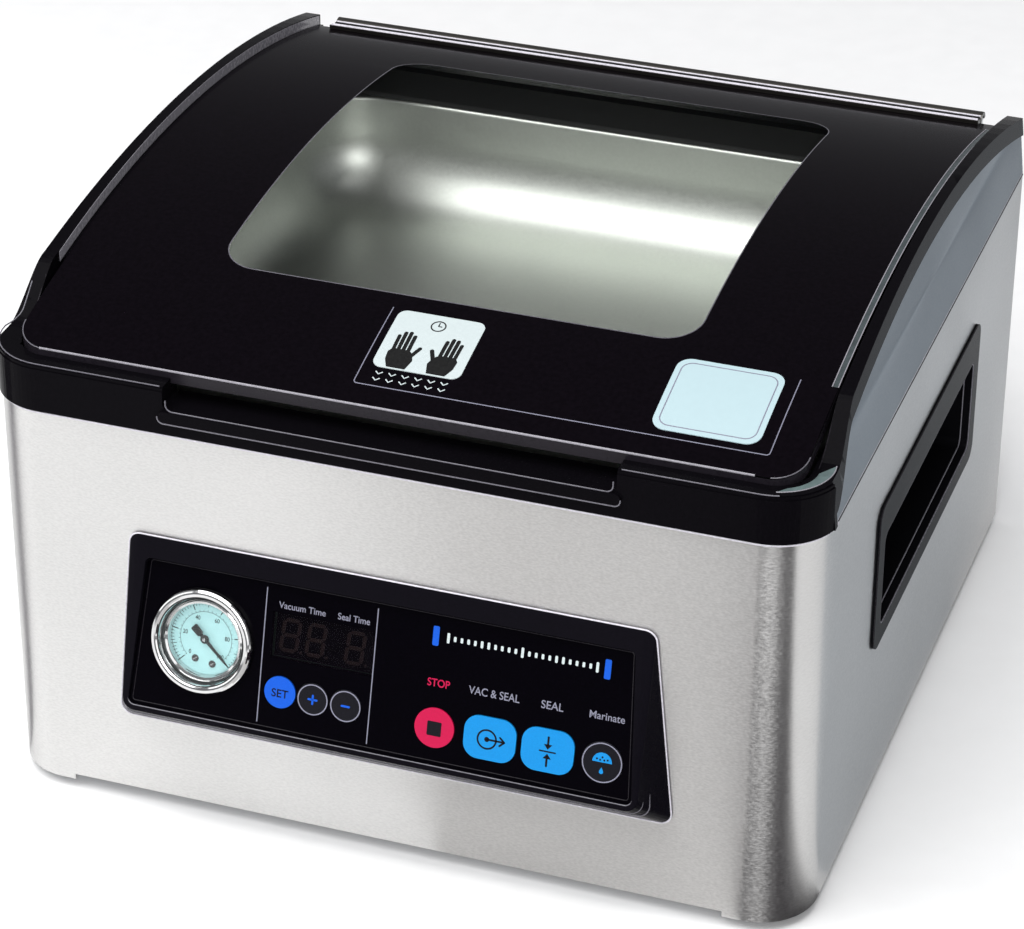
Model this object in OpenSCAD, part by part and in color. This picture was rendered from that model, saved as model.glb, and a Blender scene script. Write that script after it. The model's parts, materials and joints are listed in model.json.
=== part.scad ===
// Tabletop chamber vacuum sealer with an arched lid, a front console and a 300 mm seal bar.
// X runs to the right, Y to the back and Z up. The origin is the centre of the footprint,
// on the surface that the rubber feet stand on.

/* [Body] */
// Width of the steel body
body_w = 360; // [350:1:380]
// Depth of the steel body, from its front face to its back
body_d = 356; // [350:1:370]
// Height of the steel sides, from their lower edge to the seam
wall_h = 184; // [180:1:195]
// Radius of the two upright front corners
corner_r = 26; // [15:1:30]
// Height of the rubber feet under the steel
foot_h = 5; // [4:0.5:10]
// Thickness of the sheet metal
sheet_t = 1.2; // [0.8:0.1:1.5]

/* [Top frame and lid] */
// Height of the black band above the seam
band_h = 22; // [20:1:26]
// How far the band and the handle frames stand out of the steel
proud = 1.5; // [0.5:0.5:3]
// Radius of the arch that the lid pane follows
arch_r = 604; // [590:1:620]
// Height of the pane's crown above the seam
crown_h = 50; // [47:1:53]
// Thickness of the clear pane
pane_t = 6; // [5:0.5:8]
// Width of the clear window in the pane's black border
window_w = 208; // [180:1:230]
// Length of the clear window
window_d = 224; // [180:1:230]
// Lean of the side cheeks
cheek_lean = 6.3; // [4:0.1:8]
// Widest opening angle of the lid
lid_open = 70; // [40:5:70]

/* [Chamber] */
// Inner width of the chamber
chamber_w = 310; // [300:1:314]
// Inner length of the chamber
chamber_d = 260; // [240:1:264]
// Depth of the chamber below its rim
chamber_depth = 48; // [40:1:60]
// Length of the seal bar
bar_l = 296; // [280:1:298]

/* [Console] */
// Tilt of the console panel
console_tilt = 16; // [10:1:20]
// Height of the console panel along its face
panel_h = 65.3; // [60:0.1:68]
// Half width of the panel at its middle
panel_half = 109; // [100:1:112]
// Travel of the keys
key_travel = 0.8; // [0.5:0.1:1]

/* [Hidden] */
$fn = 48;

fit_gap = 0.3;
console_out = 20;
hinge_out = 2;
y_min = -(body_d + console_out + hinge_out) / 2;
y_max = -y_min;
y_front = y_min + console_out;
y_back = y_front + body_d;
half_w = body_w / 2;
seam_z = foot_h + wall_h;
band_top = seam_z + band_h;
arch_y = y_front + 181;
arch_z = seam_z + crown_h - arch_r;
mask_t = 0.7;
pane_in = arch_r - pane_t;
mask_in = pane_in - mask_t - 0.1;
lid_in = mask_in - 0.2;
pane_front = y_front + 8.2;
pane_back = y_back - 9.2;
pane_half = half_w - 11.6;
rim_z = seam_z + 14;
chamber_y = y_front + 175;
floor_z = rim_z - chamber_depth;
knuckle_r = 4.8;
bead_r = 3;
hinge_y = y_max - knuckle_r;
hinge_z = seam_z + 24.6;
bar_y = y_front + 63;
post_x = 95;
post_r = 5;
pump_y = y_front + 229;
pump_z = 70;
shaft_r = 6;
run_fit = 0.05;
floor_t = 1.5;
pan_z = foot_h + 2;
panel_y = y_min + 1.2 * cos(console_tilt) + (panel_h / 2 + 3) * sin(console_tilt);
panel_z = foot_h + 92;
panel_t = 2.5;
gauge_x = -80;
gauge_up = 0.5;
gauge_r = 23;
handle_y = y_front + 187;
handle_z = foot_h + 112.5;
handle_l = 180;
handle_h = 70.5;
label_t = 0.3;

steel = "#b9b8b4";
dark_steel = "#8d9298";
black = "#141416";
rubber = "#202022";
alu = "#c9cbcd";
chrome = "#dfe1e3";
blue = "#2a8fe0";

// Points of an arc about [x, y], from angle a0 to a1.
function arc(x, y, r, a0, a1, n = 8) =
    [for (i = [0:n]) let (a = a0 + (a1 - a0) * i / n) [x + r * cos(a), y + r * sin(a)]];

// Outline of a rectangle with round corners, about [0, cy].
function round_rect(w, d, r, cy = 0, n = 8) = concat(
    arc(w / 2 - r, cy + d / 2 - r, r, 0, 90, n),
    arc(-w / 2 + r, cy + d / 2 - r, r, 90, 180, n),
    arc(-w / 2 + r, cy - d / 2 + r, r, 180, 270, n),
    arc(w / 2 - r, cy - d / 2 + r, r, 270, 360, n));

// Outline of a trapezoid with round corners, wider at its foot.
function round_trapezoid(top, foot, z0, z1, r) = concat(
    arc(top - r, z1 - r, r, 0, 90, 5),
    arc(-top + r, z1 - r, r, 90, 180, 5),
    arc(-foot + r, z0 + r, r, 180, 270, 5),
    arc(foot - r, z0 + r, r, 270, 360, 5));

// Outline with a square back and round front corners.
function front_round(hw, y0, y1, r) = concat(
    [[hw, y1], [-hw, y1]],
    arc(-hw + r, y0 + r, r, 180, 270, 20),
    arc(hw - r, y0 + r, r, 270, 360, 20));

// Height of the arch of radius r above the base at depth y.
function arch(y, r) = arch_z + sqrt(r * r - (y - arch_y) * (y - arch_y));
function arch_line(r, y0, y1, n = 30) =
    [for (i = [0:n]) let (y = y0 + (y1 - y0) * i / n) [y, arch(y, r)]];

// S-shaped step between [y0, z0] and [y1, z1].
function step_line(y0, z0, y1, z1, n = 16) =
    [for (i = [0:n]) let (s = i / n) [y0 + (y1 - y0) * s, z0 + (z1 - z0) * (3 - 2 * s) * s * s]];

module along_x(x0, x1) {
    translate([x0, 0, 0])
        rotate([90, 0, 90])
            linear_extrude(height = x1 - x0)
                children();
}

module along_y(y0, y1) {
    translate([0, y1, 0])
        rotate([90, 0, 0])
            linear_extrude(height = y1 - y0)
                children();
}

module plate(w, d, r, z0, z1, cy = 0, n = 8) {
    translate([0, 0, z0])
        linear_extrude(height = z1 - z0)
            polygon(round_rect(w, d, r, cy, n));
}

module box(x0, x1, y0, y1, z0, z1) {
    translate([x0, y0, z0])
        cube([x1 - x0, y1 - y0, z1 - z0]);
}

module rod_x(r, x0, x1, y, z) {
    translate([x0, y, z])
        rotate([0, 90, 0])
            cylinder(r = r, h = x1 - x0);
}

module rod_y(r, y0, y1, x, z) {
    translate([x, y0, z])
        rotate([-90, 0, 0])
            cylinder(r = r, h = y1 - y0);
}

module rod_z(r, z0, z1, x, y) {
    translate([x, y, z0])
        cylinder(r = r, h = z1 - z0);
}

module both_sides() {
    children();
    mirror([1, 0, 0])
        children();
}

module arch_drum(r) {
    rod_x(r, -half_w - 20, half_w + 20, arch_y, arch_z, $fn = 360);
}

// ---- Case ----

feet_x = half_w - 30;
feet_y = [y_front + 34, y_back - 32];

module base_pan() {
    hw = half_w - sheet_t - fit_gap;
    y0 = y_front + sheet_t + fit_gap;
    y1 = y_back - 1.7;
    r = corner_r - 2;
    color(dark_steel)
        difference() {
            translate([0, 0, pan_z])
                linear_extrude(height = 16)
                    polygon(front_round(hw, y0, y1, r));
            translate([0, 0, pan_z + floor_t])
                linear_extrude(height = 20)
                    polygon(front_round(hw - floor_t, y0 + floor_t, y1 - floor_t, r - floor_t));
            for (i = [-5:5])
                box(i * 18 - 3, i * 18 + 3, pump_y - 30, pump_y + 30, pan_z - 1, pan_z + 4);
            for (x = [-feet_x, feet_x], y = feet_y)
                rod_z(2.6, pan_z - 1, pan_z + 4, x, y);
            for (x = rear_screw_x)
                rod_y(1.8, y1 - 3, y1 + 1, x, rear_screw_z[0]);
        }
}

module steel_wrap() {
    color(steel)
        difference() {
            translate([0, 0, foot_h])
                linear_extrude(height = wall_h)
                    difference() {
                        polygon(front_round(half_w, y_front, y_back, corner_r));
                        polygon(front_round(half_w - sheet_t, y_front + sheet_t, y_back + 1,
                            corner_r - sheet_t));
                    }
            box(-111, 111, y_front - 5, y_front + 5, panel_z - 37, panel_z + 33);
            box(-half_w + 32, half_w - 34, y_front - 5, y_front + 5, foot_h - 1, foot_h + 2.6);
            along_x(-half_w - 5, half_w + 5)
                translate([handle_y, handle_z])
                    polygon(round_rect(handle_l - 11.4, handle_h - 11.4, 5.3));
        }
}

module slot_row(x0, n, pitch, z0, z1) {
    for (i = [0:n - 1])
        box(x0 + i * pitch - 1.6, x0 + i * pitch + 1.6, y_back - 8, y_back + 4, z0, z1);
}

rear_screw_x = [-165, 0, 165];
rear_screw_z = [20, 180];
inlet_x = 120;
inlet_z = 38;
rocker_x = 66;

module rear_panel() {
    w = half_w - sheet_t - 0.4;
    top = hinge_z - knuckle_r - 0.5;
    color(dark_steel)
        difference() {
            union() {
                box(-w, w, y_back - 1.4, y_back - 0.2, pan_z + 0.5, seam_z);
                box(-half_w + 9.8, half_w - 9.8, y_back - 1.4, y_back - 0.2, seam_z, seam_z + 12);
                box(-half_w + 13.2, half_w - 13.2, y_back - 1.4, y_back - 0.2, seam_z + 11, top);
                both_sides()
                    box(w - 1.2, w, y_back - 14, y_back - 1.4, pan_z + 18, seam_z - 1);
            }
            slot_row(-130, 14, 9, 70, 110);
            slot_row(-130, 14, 9, 120, 160);
            box(inlet_x - 14, inlet_x + 14, y_back - 8, y_back + 4, inlet_z - 10, inlet_z + 10);
            box(rocker_x - 8, rocker_x + 8, y_back - 8, y_back + 4, inlet_z - 13, inlet_z + 13);
            for (x = rear_screw_x, z = rear_screw_z)
                rod_y(1.8, y_back - 8, y_back + 4, x, z);
        }
}

module rear_screws() {
    color(alu)
        for (x = rear_screw_x, z = rear_screw_z) {
            rod_y(1.7, y_back - 9, y_back - 0.2, x, z);
            rod_y(3.6, y_back - 0.2, y_back + 1.4, x, z);
        }
}

cheek_front = y_front + 22;
arch_front = y_front + 54.5;
cheek_r = arch_r - 4.6;

// Side view of a cheek, with its front edge rising in an S to the arch.
function cheek_outline(r, grow) = concat(
    [[y_back, seam_z + fit_gap], [cheek_front - grow, seam_z + fit_gap]],
    step_line(cheek_front - grow, seam_z + 6, arch_front - grow, arch(arch_front - grow, r)),
    arch_line(r, arch_front + 2, y_back, 26));

// Turns a shape about the seam line of the right side, so that it leans with the cheek.
module leaning() {
    translate([half_w, 0, seam_z])
        rotate([0, -cheek_lean, 0])
            translate([-half_w, 0, -seam_z])
                children();
}

module cheek() {
    leaning()
        along_x(half_w - sheet_t, half_w)
            polygon(cheek_outline(cheek_r, 0));
}

module cheek_right() {
    color(dark_steel)
        cheek();
}

module cheek_left() {
    color(dark_steel)
        mirror([1, 0, 0])
            cheek();
}

rail_in = half_w - 9.4;
ledge_in = half_w - 10.9;
grip_half = 97;
band_wall = y_front + 7.4;

// Rail on the right side: an outer cap along the arch, with a ledge along its inside.
module rail() {
    cap = concat(
        [[cheek_front - 4, seam_z + fit_gap]],
        [[cheek_front - 0.4, seam_z + fit_gap]],
        step_line(cheek_front - 0.4, seam_z + 6, arch_front - 0.4, arch(arch_front, cheek_r + 0.4)),
        arch_line(cheek_r + 0.4, arch_front + 1.6, y_back, 26),
        arch_line(arch_r + 4, y_back, arch_front + 6, 26),
        step_line(arch_front + 4, arch(arch_front + 4, arch_r + 4), cheek_front + 4, band_top),
        [[cheek_front - 4, band_top]]);
    ledge = concat(
        arch_line(arch_r - 10, arch_front + 10, y_back, 20),
        arch_line(arch_r - 1, y_back, arch_front + 10, 20));
    intersection() {
        union() {
            along_x(rail_in, half_w + 5)
                polygon(cap);
            box(ledge_in, half_w - 4.6, cheek_front - 5, arch_front + 14, band_top - 12, band_top);
            along_x(ledge_in, rail_in)
                polygon(ledge);
        }
        leaning()
            box(0, half_w + 1, y_front - 5, y_back, seam_z - 50, seam_z + 100);
    }
}

module top_frame() {
    w = body_w + 2 * proud;
    long = 120;
    cy = y_front - proud + long / 2;
    ledge_z = band_top - 4.6;
    color(black)
        difference() {
            union() {
                difference() {
                    union() {
                        plate(w, long, corner_r + proud, seam_z + fit_gap, band_top - 2, cy, 20);
                        plate(w - 1, long - 1, corner_r + proud - 0.5, band_top - 2, band_top - 0.6, cy, 20);
                        plate(w - 2.4, long - 2.4, corner_r + proud - 1.2, band_top - 0.6, band_top, cy, 20);
                    }
                    box(-w, w, cheek_front - 4, y_back, seam_z - 1, band_top + 1);
                    plate(2 * pane_half + 1, long, 14, ledge_z, band_top + 1, band_wall + long / 2);
                    box(-pane_half + 1, pane_half - 1, y_front + 13, y_back, seam_z - 1, band_top + 1);
                }
                box(-grip_half - 1, grip_half + 1, y_front + 7, y_front + 18,
                    seam_z + fit_gap, band_top - 11);
                along_y(y_front - 3, y_front + 2)
                    polygon(round_rect(2 * grip_half + 4, 5.4, 2.6, seam_z + 9));
                both_sides()
                    rail();
            }
            along_y(y_front - 6, y_front + 13.5)
                polygon(round_rect(2 * grip_half, 24, 3, band_top + 1.5));
        }
}

module handle_cup() {
    x_face = half_w + proud;
    x_in = half_w - 30;
    open_h = 46;
    open_z = -4;
    difference() {
        union() {
            along_x(half_w, x_face)
                polygon(round_rect(handle_l, handle_h, 7));
            along_x(x_in, half_w)
                polygon(round_rect(handle_l - 12, handle_h - 12, 5));
        }
        along_x(half_w - 3, x_face + 1)
            translate([0, open_z])
                polygon(round_rect(handle_l - 18, open_h, 5));
        along_x(x_in + 2.5, half_w - 2.5)
            polygon(round_rect(handle_l - 17, handle_h - 17, 4));
    }
}

module handle_cup_right() {
    color(black)
        translate([0, handle_y, handle_z])
            handle_cup();
}

module handle_cup_left() {
    color(black)
        mirror([1, 0, 0])
            translate([0, handle_y, handle_z])
                handle_cup();
}

module feet() {
    color(rubber)
        for (x = [-feet_x, feet_x], y = feet_y)
            difference() {
                translate([x, y, 0])
                    cylinder(r1 = 10, r2 = 12, h = pan_z);
                rod_z(5.5, -1, 3, x, y);
                rod_z(2.6, -1, pan_z + 1, x, y);
            }
}

module foot_screws() {
    color(alu)
        for (x = [-feet_x, feet_x], y = feet_y) {
            rod_z(5, 1, 3, x, y);
            rod_z(2.4, 3, pan_z + 8, x, y);
        }
}

// ---- Chamber ----

// Solid with round corners and a blended foot.
module tub_shape(w, d, r, z0, z1) {
    blend = 10;
    hull() {
        plate(w - 2 * blend, d - 2 * blend, r - blend, z0, z0 + 0.2, chamber_y);
        plate(w - 0.6 * blend, d - 0.6 * blend, r - 0.3 * blend, z0 + 0.3 * blend, z1, chamber_y);
        plate(w, d, r, z0 + blend, z1, chamber_y);
    }
}

port_x = -85;
port_y = pump_y + 50;

module chamber_tub() {
    t = 1.5;
    color(steel)
        difference() {
            union() {
                tub_shape(chamber_w + 2 * t, chamber_d + 2 * t, 31.5, floor_z - t, rim_z);
                plate(chamber_w + 22, chamber_d + 22, 38, rim_z - t, rim_z, chamber_y);
            }
            tub_shape(chamber_w, chamber_d, 30, floor_z, rim_z + 1);
            for (x = [-post_x, post_x])
                rod_z(post_r + 1.5, floor_z - 4, floor_z + 1, x, bar_y);
            rod_z(5, floor_z - 4, floor_z + 1, port_x, port_y);
            rod_z(5, floor_z - 4, floor_z + 1, -port_x, port_y);
        }
}

module chamber_rail() {
    z1 = rim_z - 1.5 - 0.2;
    y0 = arch_front + 15;
    color(dark_steel) {
        box(half_w - 21, half_w - 3.4, y0, y_back - 20, z1 - 1.5, z1);
        box(half_w - 4.4, half_w - 3.2, y0, handle_y - handle_l / 2 - 6, z1 - 20, z1 - 1.5);
        box(half_w - 4.4, half_w - 3.2, handle_y + handle_l / 2 + 6, y_back - 20, z1 - 20, z1 - 1.5);
    }
}

module chamber_rail_right() {
    chamber_rail();
}

module chamber_rail_left() {
    mirror([1, 0, 0])
        chamber_rail();
}

bar_top = rim_z - 6;

module seal_bar() {
    color(alu)
        difference() {
            box(-bar_l / 2, bar_l / 2, bar_y - 7, bar_y + 7, rim_z - 26, bar_top);
            for (s = [-1, 1])
                box(-bar_l / 2 - 1, bar_l / 2 + 1, bar_y + s * 8.5 - 3, bar_y + s * 8.5 + 3,
                    rim_z - 21, rim_z - 11);
            for (x = [-post_x, post_x])
                rod_z(post_r, rim_z - 27, rim_z - 18, x, bar_y);
        }
}

module seal_wire() {
    color("#9a8f86") {
        box(-bar_l / 2, bar_l / 2, bar_y - 2.5, bar_y + 2.5, bar_top, bar_top + 0.4);
        for (s = [-1, 1])
            box(s * bar_l / 2 + min(0, s) * 1.6, s * bar_l / 2 + max(0, s) * 1.6,
                bar_y - 3, bar_y + 3, rim_z - 22, bar_top + 0.4);
    }
}

module seal_tape() {
    color("#b8a888")
        difference() {
            box(-bar_l / 2 + 2, bar_l / 2 - 2, bar_y - 7.4, bar_y + 7.4, rim_z - 10, bar_top + 0.8);
            box(-bar_l / 2, bar_l / 2, bar_y - 7, bar_y + 7, rim_z - 30, bar_top);
            box(-bar_l / 2, bar_l / 2, bar_y - 2.6, bar_y + 2.6, rim_z - 30, bar_top + 0.45);
        }
}

module bar_posts() {
    color(chrome)
        for (x = [-post_x, post_x])
            rod_z(post_r, floor_z - 24, rim_z - 18, x, bar_y);
}

module lift_cylinders() {
    color(alu)
        for (x = [-post_x, post_x])
            difference() {
                union() {
                    rod_z(13, floor_z - 40, floor_z - 5, x, bar_y);
                    rod_z(17, floor_z - 5, floor_z - 1.7, x, bar_y);
                }
                rod_z(post_r + run_fit, floor_z - 36, floor_z, x, bar_y);
            }
}

// ---- Hinge ----

hinge_half = half_w - 20;

// Fixed half of the full-length hinge: a round bead on a neck.
module hinge_rail() {
    color(alu) {
        rod_x(bead_r, -hinge_half + 0.5, hinge_half - 0.5, hinge_y, hinge_z);
        difference() {
            union() {
                box(-hinge_half + 0.5, hinge_half - 0.5, hinge_y - 1.1, hinge_y + 1.1,
                    hinge_z - knuckle_r - 1, hinge_z - 1);
                box(-hinge_half + 0.5, hinge_half - 0.5, hinge_y - 2.4, y_back - 1.5,
                    hinge_z - 24, hinge_z - knuckle_r - 0.5);
            }
            rod_x(bead_r, -hinge_half, hinge_half, hinge_y, hinge_z);
        }
    }
}

// ---- Lid ----

module lid_outline(z0, z1) {
    r = 14;
    d = pane_back - pane_front;
    plate(2 * pane_half, d + 20, r, z0, z1, pane_front + d / 2 + 10, 16);
}

module lid_pane() {
    color([0.75, 0.82, 0.82, 0.35])
        difference() {
            intersection() {
                lid_outline(seam_z, seam_z + crown_h + 5);
                arch_drum(arch_r);
                box(-half_w, half_w, pane_front - 1, pane_back, seam_z, seam_z + 80);
            }
            arch_drum(pane_in);
        }
}

window_y = y_front + 75 + window_d / 2;

module lid_mask() {
    color(black)
        difference() {
            intersection() {
                translate([0, 0.4, 0])
                    lid_outline(seam_z, seam_z + crown_h + 5);
                arch_drum(mask_in + mask_t);
                box(-half_w, half_w, pane_front - 1, pane_back - 6, seam_z, seam_z + 80);
            }
            arch_drum(mask_in);
            plate(window_w, window_d, 16, seam_z, seam_z + 80, window_y);
        }
}

frame_z = rim_z + 3.3;

module lid_frame() {
    w = chamber_w + 18;
    d = chamber_d + 18;
    color(black)
        difference() {
            intersection() {
                plate(w, d, 36, frame_z, seam_z + 80, chamber_y);
                arch_drum(lid_in);
            }
            plate(w - 20, d - 20, 26, frame_z - 1, seam_z + 90, chamber_y);
            difference() {
                plate(w - 5, d - 5, 33.5, frame_z - 1, frame_z + 2, chamber_y);
                plate(w - 17, d - 17, 27.5, frame_z - 2, frame_z + 3, chamber_y);
            }
        }
}

module lid_gasket() {
    w = chamber_w + 18;
    d = chamber_d + 18;
    color(rubber)
        difference() {
            plate(w - 5, d - 5, 33.5, rim_z + fit_gap, frame_z + 2, chamber_y);
            plate(w - 17, d - 17, 27.5, rim_z, frame_z + 3, chamber_y);
        }
}

// Moving half of the hinge: a channel that grips the pane, with a socket round the bead.
module lid_rear_profile() {
    y0 = pane_back - 5;
    y1 = hinge_y - knuckle_r + 1;
    gap_end = lid_open - 60;
    socket = concat(
        arc(hinge_y, hinge_z, knuckle_r, gap_end, 240, 24),
        arc(hinge_y, hinge_z, bead_r + run_fit, 240, gap_end, 24));
    color(alu)
        difference() {
            union() {
                difference() {
                    intersection() {
                        box(-hinge_half, hinge_half, y0, y1, seam_z, seam_z + 60);
                        arch_drum(arch_r + 2);
                    }
                    arch_drum(pane_in - 1.8);
                    difference() {
                        intersection() {
                            box(-half_w, half_w, y0 - 2, pane_back + 0.2, seam_z, seam_z + 60);
                            arch_drum(arch_r + 0.15);
                        }
                        arch_drum(pane_in - 0.15);
                    }
                    rod_x(knuckle_r - 0.8, -half_w, half_w, hinge_y, hinge_z);
                }
                along_x(-hinge_half, hinge_half)
                    polygon(socket);
            }
            box(-half_w, half_w, y1 - 2.2, y1 - 1, arch(y1, arch_r) - 0.2, seam_z + 60);
        }
}

module counter_bar() {
    color(alu)
        intersection() {
            box(-bar_l / 2 + 2, bar_l / 2 - 2, bar_y - 9, bar_y + 9, rim_z + 9, rim_z + 40);
            arch_drum(lid_in);
        }
}

module counter_pad() {
    color("#c65b3c")
        box(-bar_l / 2, bar_l / 2, bar_y - 6, bar_y + 6, rim_z + 6, rim_z + 9);
}

module on_pane() {
    difference() {
        intersection() {
            children();
            arch_drum(arch_r + label_t + 0.05);
        }
        arch_drum(arch_r + 0.05);
    }
}

module press_label() {
    color("white")
        on_pane()
            translate([0.7, y_front + 47.5, seam_z])
                linear_extrude(height = 80)
                    polygon(round_rect(38, 35, 4));
}

module badge() {
    color("#cfe2e8")
        on_pane()
            translate([124.5, y_front + 44, seam_z])
                linear_extrude(height = 80)
                    polygon(round_rect(45, 42, 6));
}

// ---- Console ----

// Frame of the console: X to the right, Z up the panel's face, -Y out of it.
module on_console() {
    translate([0, panel_y, panel_z])
        rotate([-console_tilt, 0, 0])
            children();
}

panel_top = panel_half - 2;
panel_foot = panel_half + 2;
key_x = [-44, -29.3, -14.7, 24.6, 48.8, 73.8, 97.2];
key_up = [-15.2, -15.2, -15.2, -17, -17, -17, -17];
key_r = [6.9, 6.9, 6.9, 8.6, 0, 0, 8.8];
lens_x = -27;
lens_up = 9.2;

module panel_outline(grow) {
    polygon(round_trapezoid(panel_top + grow, panel_foot + grow,
        -panel_h / 2 - grow, panel_h / 2 + grow, 2.5 + grow));
}

module key_outline(i, grow) {
    translate([key_x[i], key_up[i]])
        if (key_r[i] > 0)
            circle(r = key_r[i] + grow);
        else
            polygon(round_rect(22.6 + 2 * grow, 18.6 + 2 * grow, 6.5 + grow));
}

// The key's outline with a tab above and below, which holds it behind the panel.
module key_flange(i) {
    half = key_r[i] > 0 ? key_r[i] : 9.3;
    key_outline(i, 0);
    translate([key_x[i], key_up[i]])
        square([9, 2 * half + 2.4], center = true);
}

module console_bezel() {
    rim = 3;
    color(black)
        difference() {
            hull() {
                along_y(y_front - 1, y_front)
                    polygon(round_trapezoid(115, 123, foot_h + 42, foot_h + 134, 5));
                on_console()
                    along_y(-1.2, 0)
                        panel_outline(rim);
            }
            box(-half_w, half_w, y_front, y_front + 30, panel_z - 60, panel_z + 60);
            on_console()
                along_y(-5, panel_t + 0.3)
                    panel_outline(0.2);
            on_console()
                along_y(-2, 60)
                    panel_outline(-2);
        }
}

module console_panel() {
    color("#0b0b0e")
        on_console()
            difference() {
                along_y(0, panel_t)
                    panel_outline(0);
                for (i = [0:6])
                    along_y(-1, 5)
                        key_outline(i, 0.25);
                rod_y(gauge_r - 2.4, -1, 5, gauge_x, gauge_up);
                along_y(-1, 5)
                    translate([lens_x, lens_up])
                        square([46, 20], center = true);
            }
}

module display_lens() {
    color([0.1, 0.08, 0.08, 0.6])
        on_console()
            along_y(0, panel_t - 0.5)
                translate([lens_x, lens_up])
                    square([45.8, 19.8], center = true);
}

digit_x = [-41, -29.5, -13.5];

// Seven bars of one digit.
module digit(w, h, t) {
    for (z = [-h / 2, 0, h / 2])
        translate([0, z])
            square([w - t - 0.8, t], center = true);
    for (x = [-w / 2, w / 2], z = [-h / 4, h / 4])
        translate([x, z])
            square([t, h / 2 - t - 0.8], center = true);
}

module display_digits() {
    color("#3a1210")
        on_console()
            for (x = digit_x)
                along_y(2.2, 2.8)
                    translate([x, lens_up])
                        digit(8, 14, 1.6);
}

module display_module() {
    color("#e8e6df")
        on_console()
            box(lens_x - 22, lens_x + 22, 2.8, 9, lens_up - 9.5, lens_up + 9.5);
}

module key_board() {
    board_y = 9.2;
    color("#2f6b3c")
        on_console()
            difference() {
                box(-54, 104, board_y, board_y + 1.6, -panel_h / 2 + 6, panel_h / 2 - 6);
                rod_y(1.6, board_y - 1, board_y + 3, -50, -22);
                rod_y(1.6, board_y - 1, board_y + 3, 100, 20);
            }
    color("#2a2a2a")
        on_console()
            for (i = [0:6])
                box(key_x[i] - 3, key_x[i] + 3, 4 + key_travel, board_y,
                    key_up[i] - 3, key_up[i] + 3);
}

module key(i) {
    on_console() {
        along_y(-0.4, 2.8)
            key_outline(i, 0);
        along_y(2.8, 3.5)
            key_flange(i);
    }
}

module key_set() {
    color(blue)
        key(0);
}

module key_plus() {
    color("#101014")
        key(1);
}

module key_minus() {
    color("#101014")
        key(2);
}

module key_stop() {
    color("#e3264c")
        key(3);
}

module key_vac_seal() {
    color(blue)
        key(4);
}

module key_seal() {
    color(blue)
        key(5);
}

module key_marinate() {
    color("#101014")
        key(6);
}

module gauge_turned() {
    on_console()
        translate([gauge_x, 0, gauge_up])
            rotate([90, 0, 0])
                rotate_extrude($fn = 96)
                    children();
}

module gauge_ring() {
    color(chrome)
        gauge_turned()
            polygon(concat(
                [[gauge_r - 4.4, 0.05], [gauge_r, 0.05], [gauge_r, 1.4]],
                arc(gauge_r - 2.2, 1.7, 2.1, 0, 180, 10),
                [[gauge_r - 4.4, 1.4]]));
}

module gauge_case() {
    color("#3c3c3e")
        gauge_turned()
            polygon([[0, -36], [4, -36], [4, -24], [19.6, -24], [gauge_r - 2.8, -20],
                [gauge_r - 2.8, 0], [18.6, 0], [18.6, -4], [0, -4]]);
}

module gauge_dial() {
    color("#bfe6e6")
        gauge_turned()
            polygon([[0, -3.9], [18.3, -3.9], [18.3, -3.1], [1.2, -3.1], [1.2, -2.6], [0, -2.6]]);
}

module gauge_lens() {
    color([0.9, 0.95, 1, 0.3])
        gauge_turned()
            polygon([[0, 1], [18.5, 1], [18.5, 1.8], [0, 1.8]]);
}

needle_rest = -42;

module gauge_needle() {
    color("#101010")
        on_console()
            translate([gauge_x, 0, gauge_up])
                rotate([90, 0, 0])
                    rotate([0, 0, needle_rest])
                        translate([0, 0, -2]) {
                            linear_extrude(height = 0.7)
                                polygon([[16, 0.15], [0, 0.9], [-7, 1.4],
                                    [-7, -1.4], [0, -0.9], [16, -0.15]]);
                            cylinder(r = 1.7, h = 1.4);
                        }
}

// ---- Inside ----

switch_x = 140;
switch_y = y_front + 24;

module lid_switch() {
    color("#2b2b30")
        difference() {
            box(switch_x - 7, switch_x + 7, y_front + 13, switch_y + 6, seam_z - 4, seam_z + 11);
            rod_z(2.5 + run_fit, seam_z + 0, seam_z + 12, switch_x, switch_y);
        }
}

module lid_plunger() {
    color("#d8d8d0")
        rod_z(2.5, seam_z + 4, seam_z + 20.4, switch_x, switch_y);
}

module pump_motor() {
    color("#5d6268") {
        difference() {
            union() {
                rod_x(42, -52, 52, pump_y, pump_z);
                for (s = [-1, 1], i = [0:3])
                    rod_x(44, s * (12 + i * 11) - 2, s * (12 + i * 11) + 2, pump_y, pump_z);
                box(-40, 40, pump_y - 30, pump_y + 30, pump_z - 50, pump_z - 30);
            }
            rod_x(shaft_r + run_fit, -60, 60, pump_y, pump_z);
        }
    }
}

module pump_heads() {
    color(alu)
        both_sides()
            difference() {
                union() {
                    box(52, 96, pump_y - 28, pump_y + 28, pump_z - 50, pump_z + 32);
                    for (i = [0:3])
                        box(54, 94, pump_y - 30, pump_y + 30, pump_z + 34 + i * 5, pump_z + 36.5 + i * 5);
                    box(58, 90, pump_y - 22, pump_y + 22, pump_z + 32, pump_z + 53);
                }
                rod_x(shaft_r + 0.6, 50, 100, pump_y, pump_z);
            }
}

module pump_rotor() {
    fan_r = 30;
    color("#b0b4b8") {
        rod_x(shaft_r, -116, 116, pump_y, pump_z);
        both_sides()
            difference() {
                rod_x(11, 100, 114, pump_y, pump_z);
                rod_x(shaft_r, 99, 115, pump_y, pump_z);
            }
    }
    color("#1c1c20")
        both_sides()
            for (a = [0:60:300])
                translate([107, pump_y, pump_z])
                    rotate([a, 0, 0])
                        translate([0, 0, 10.5])
                            rotate([0, 0, 30])
                                box(-6, 6, -1, 1, 0, fan_r - 10);
}

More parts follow.
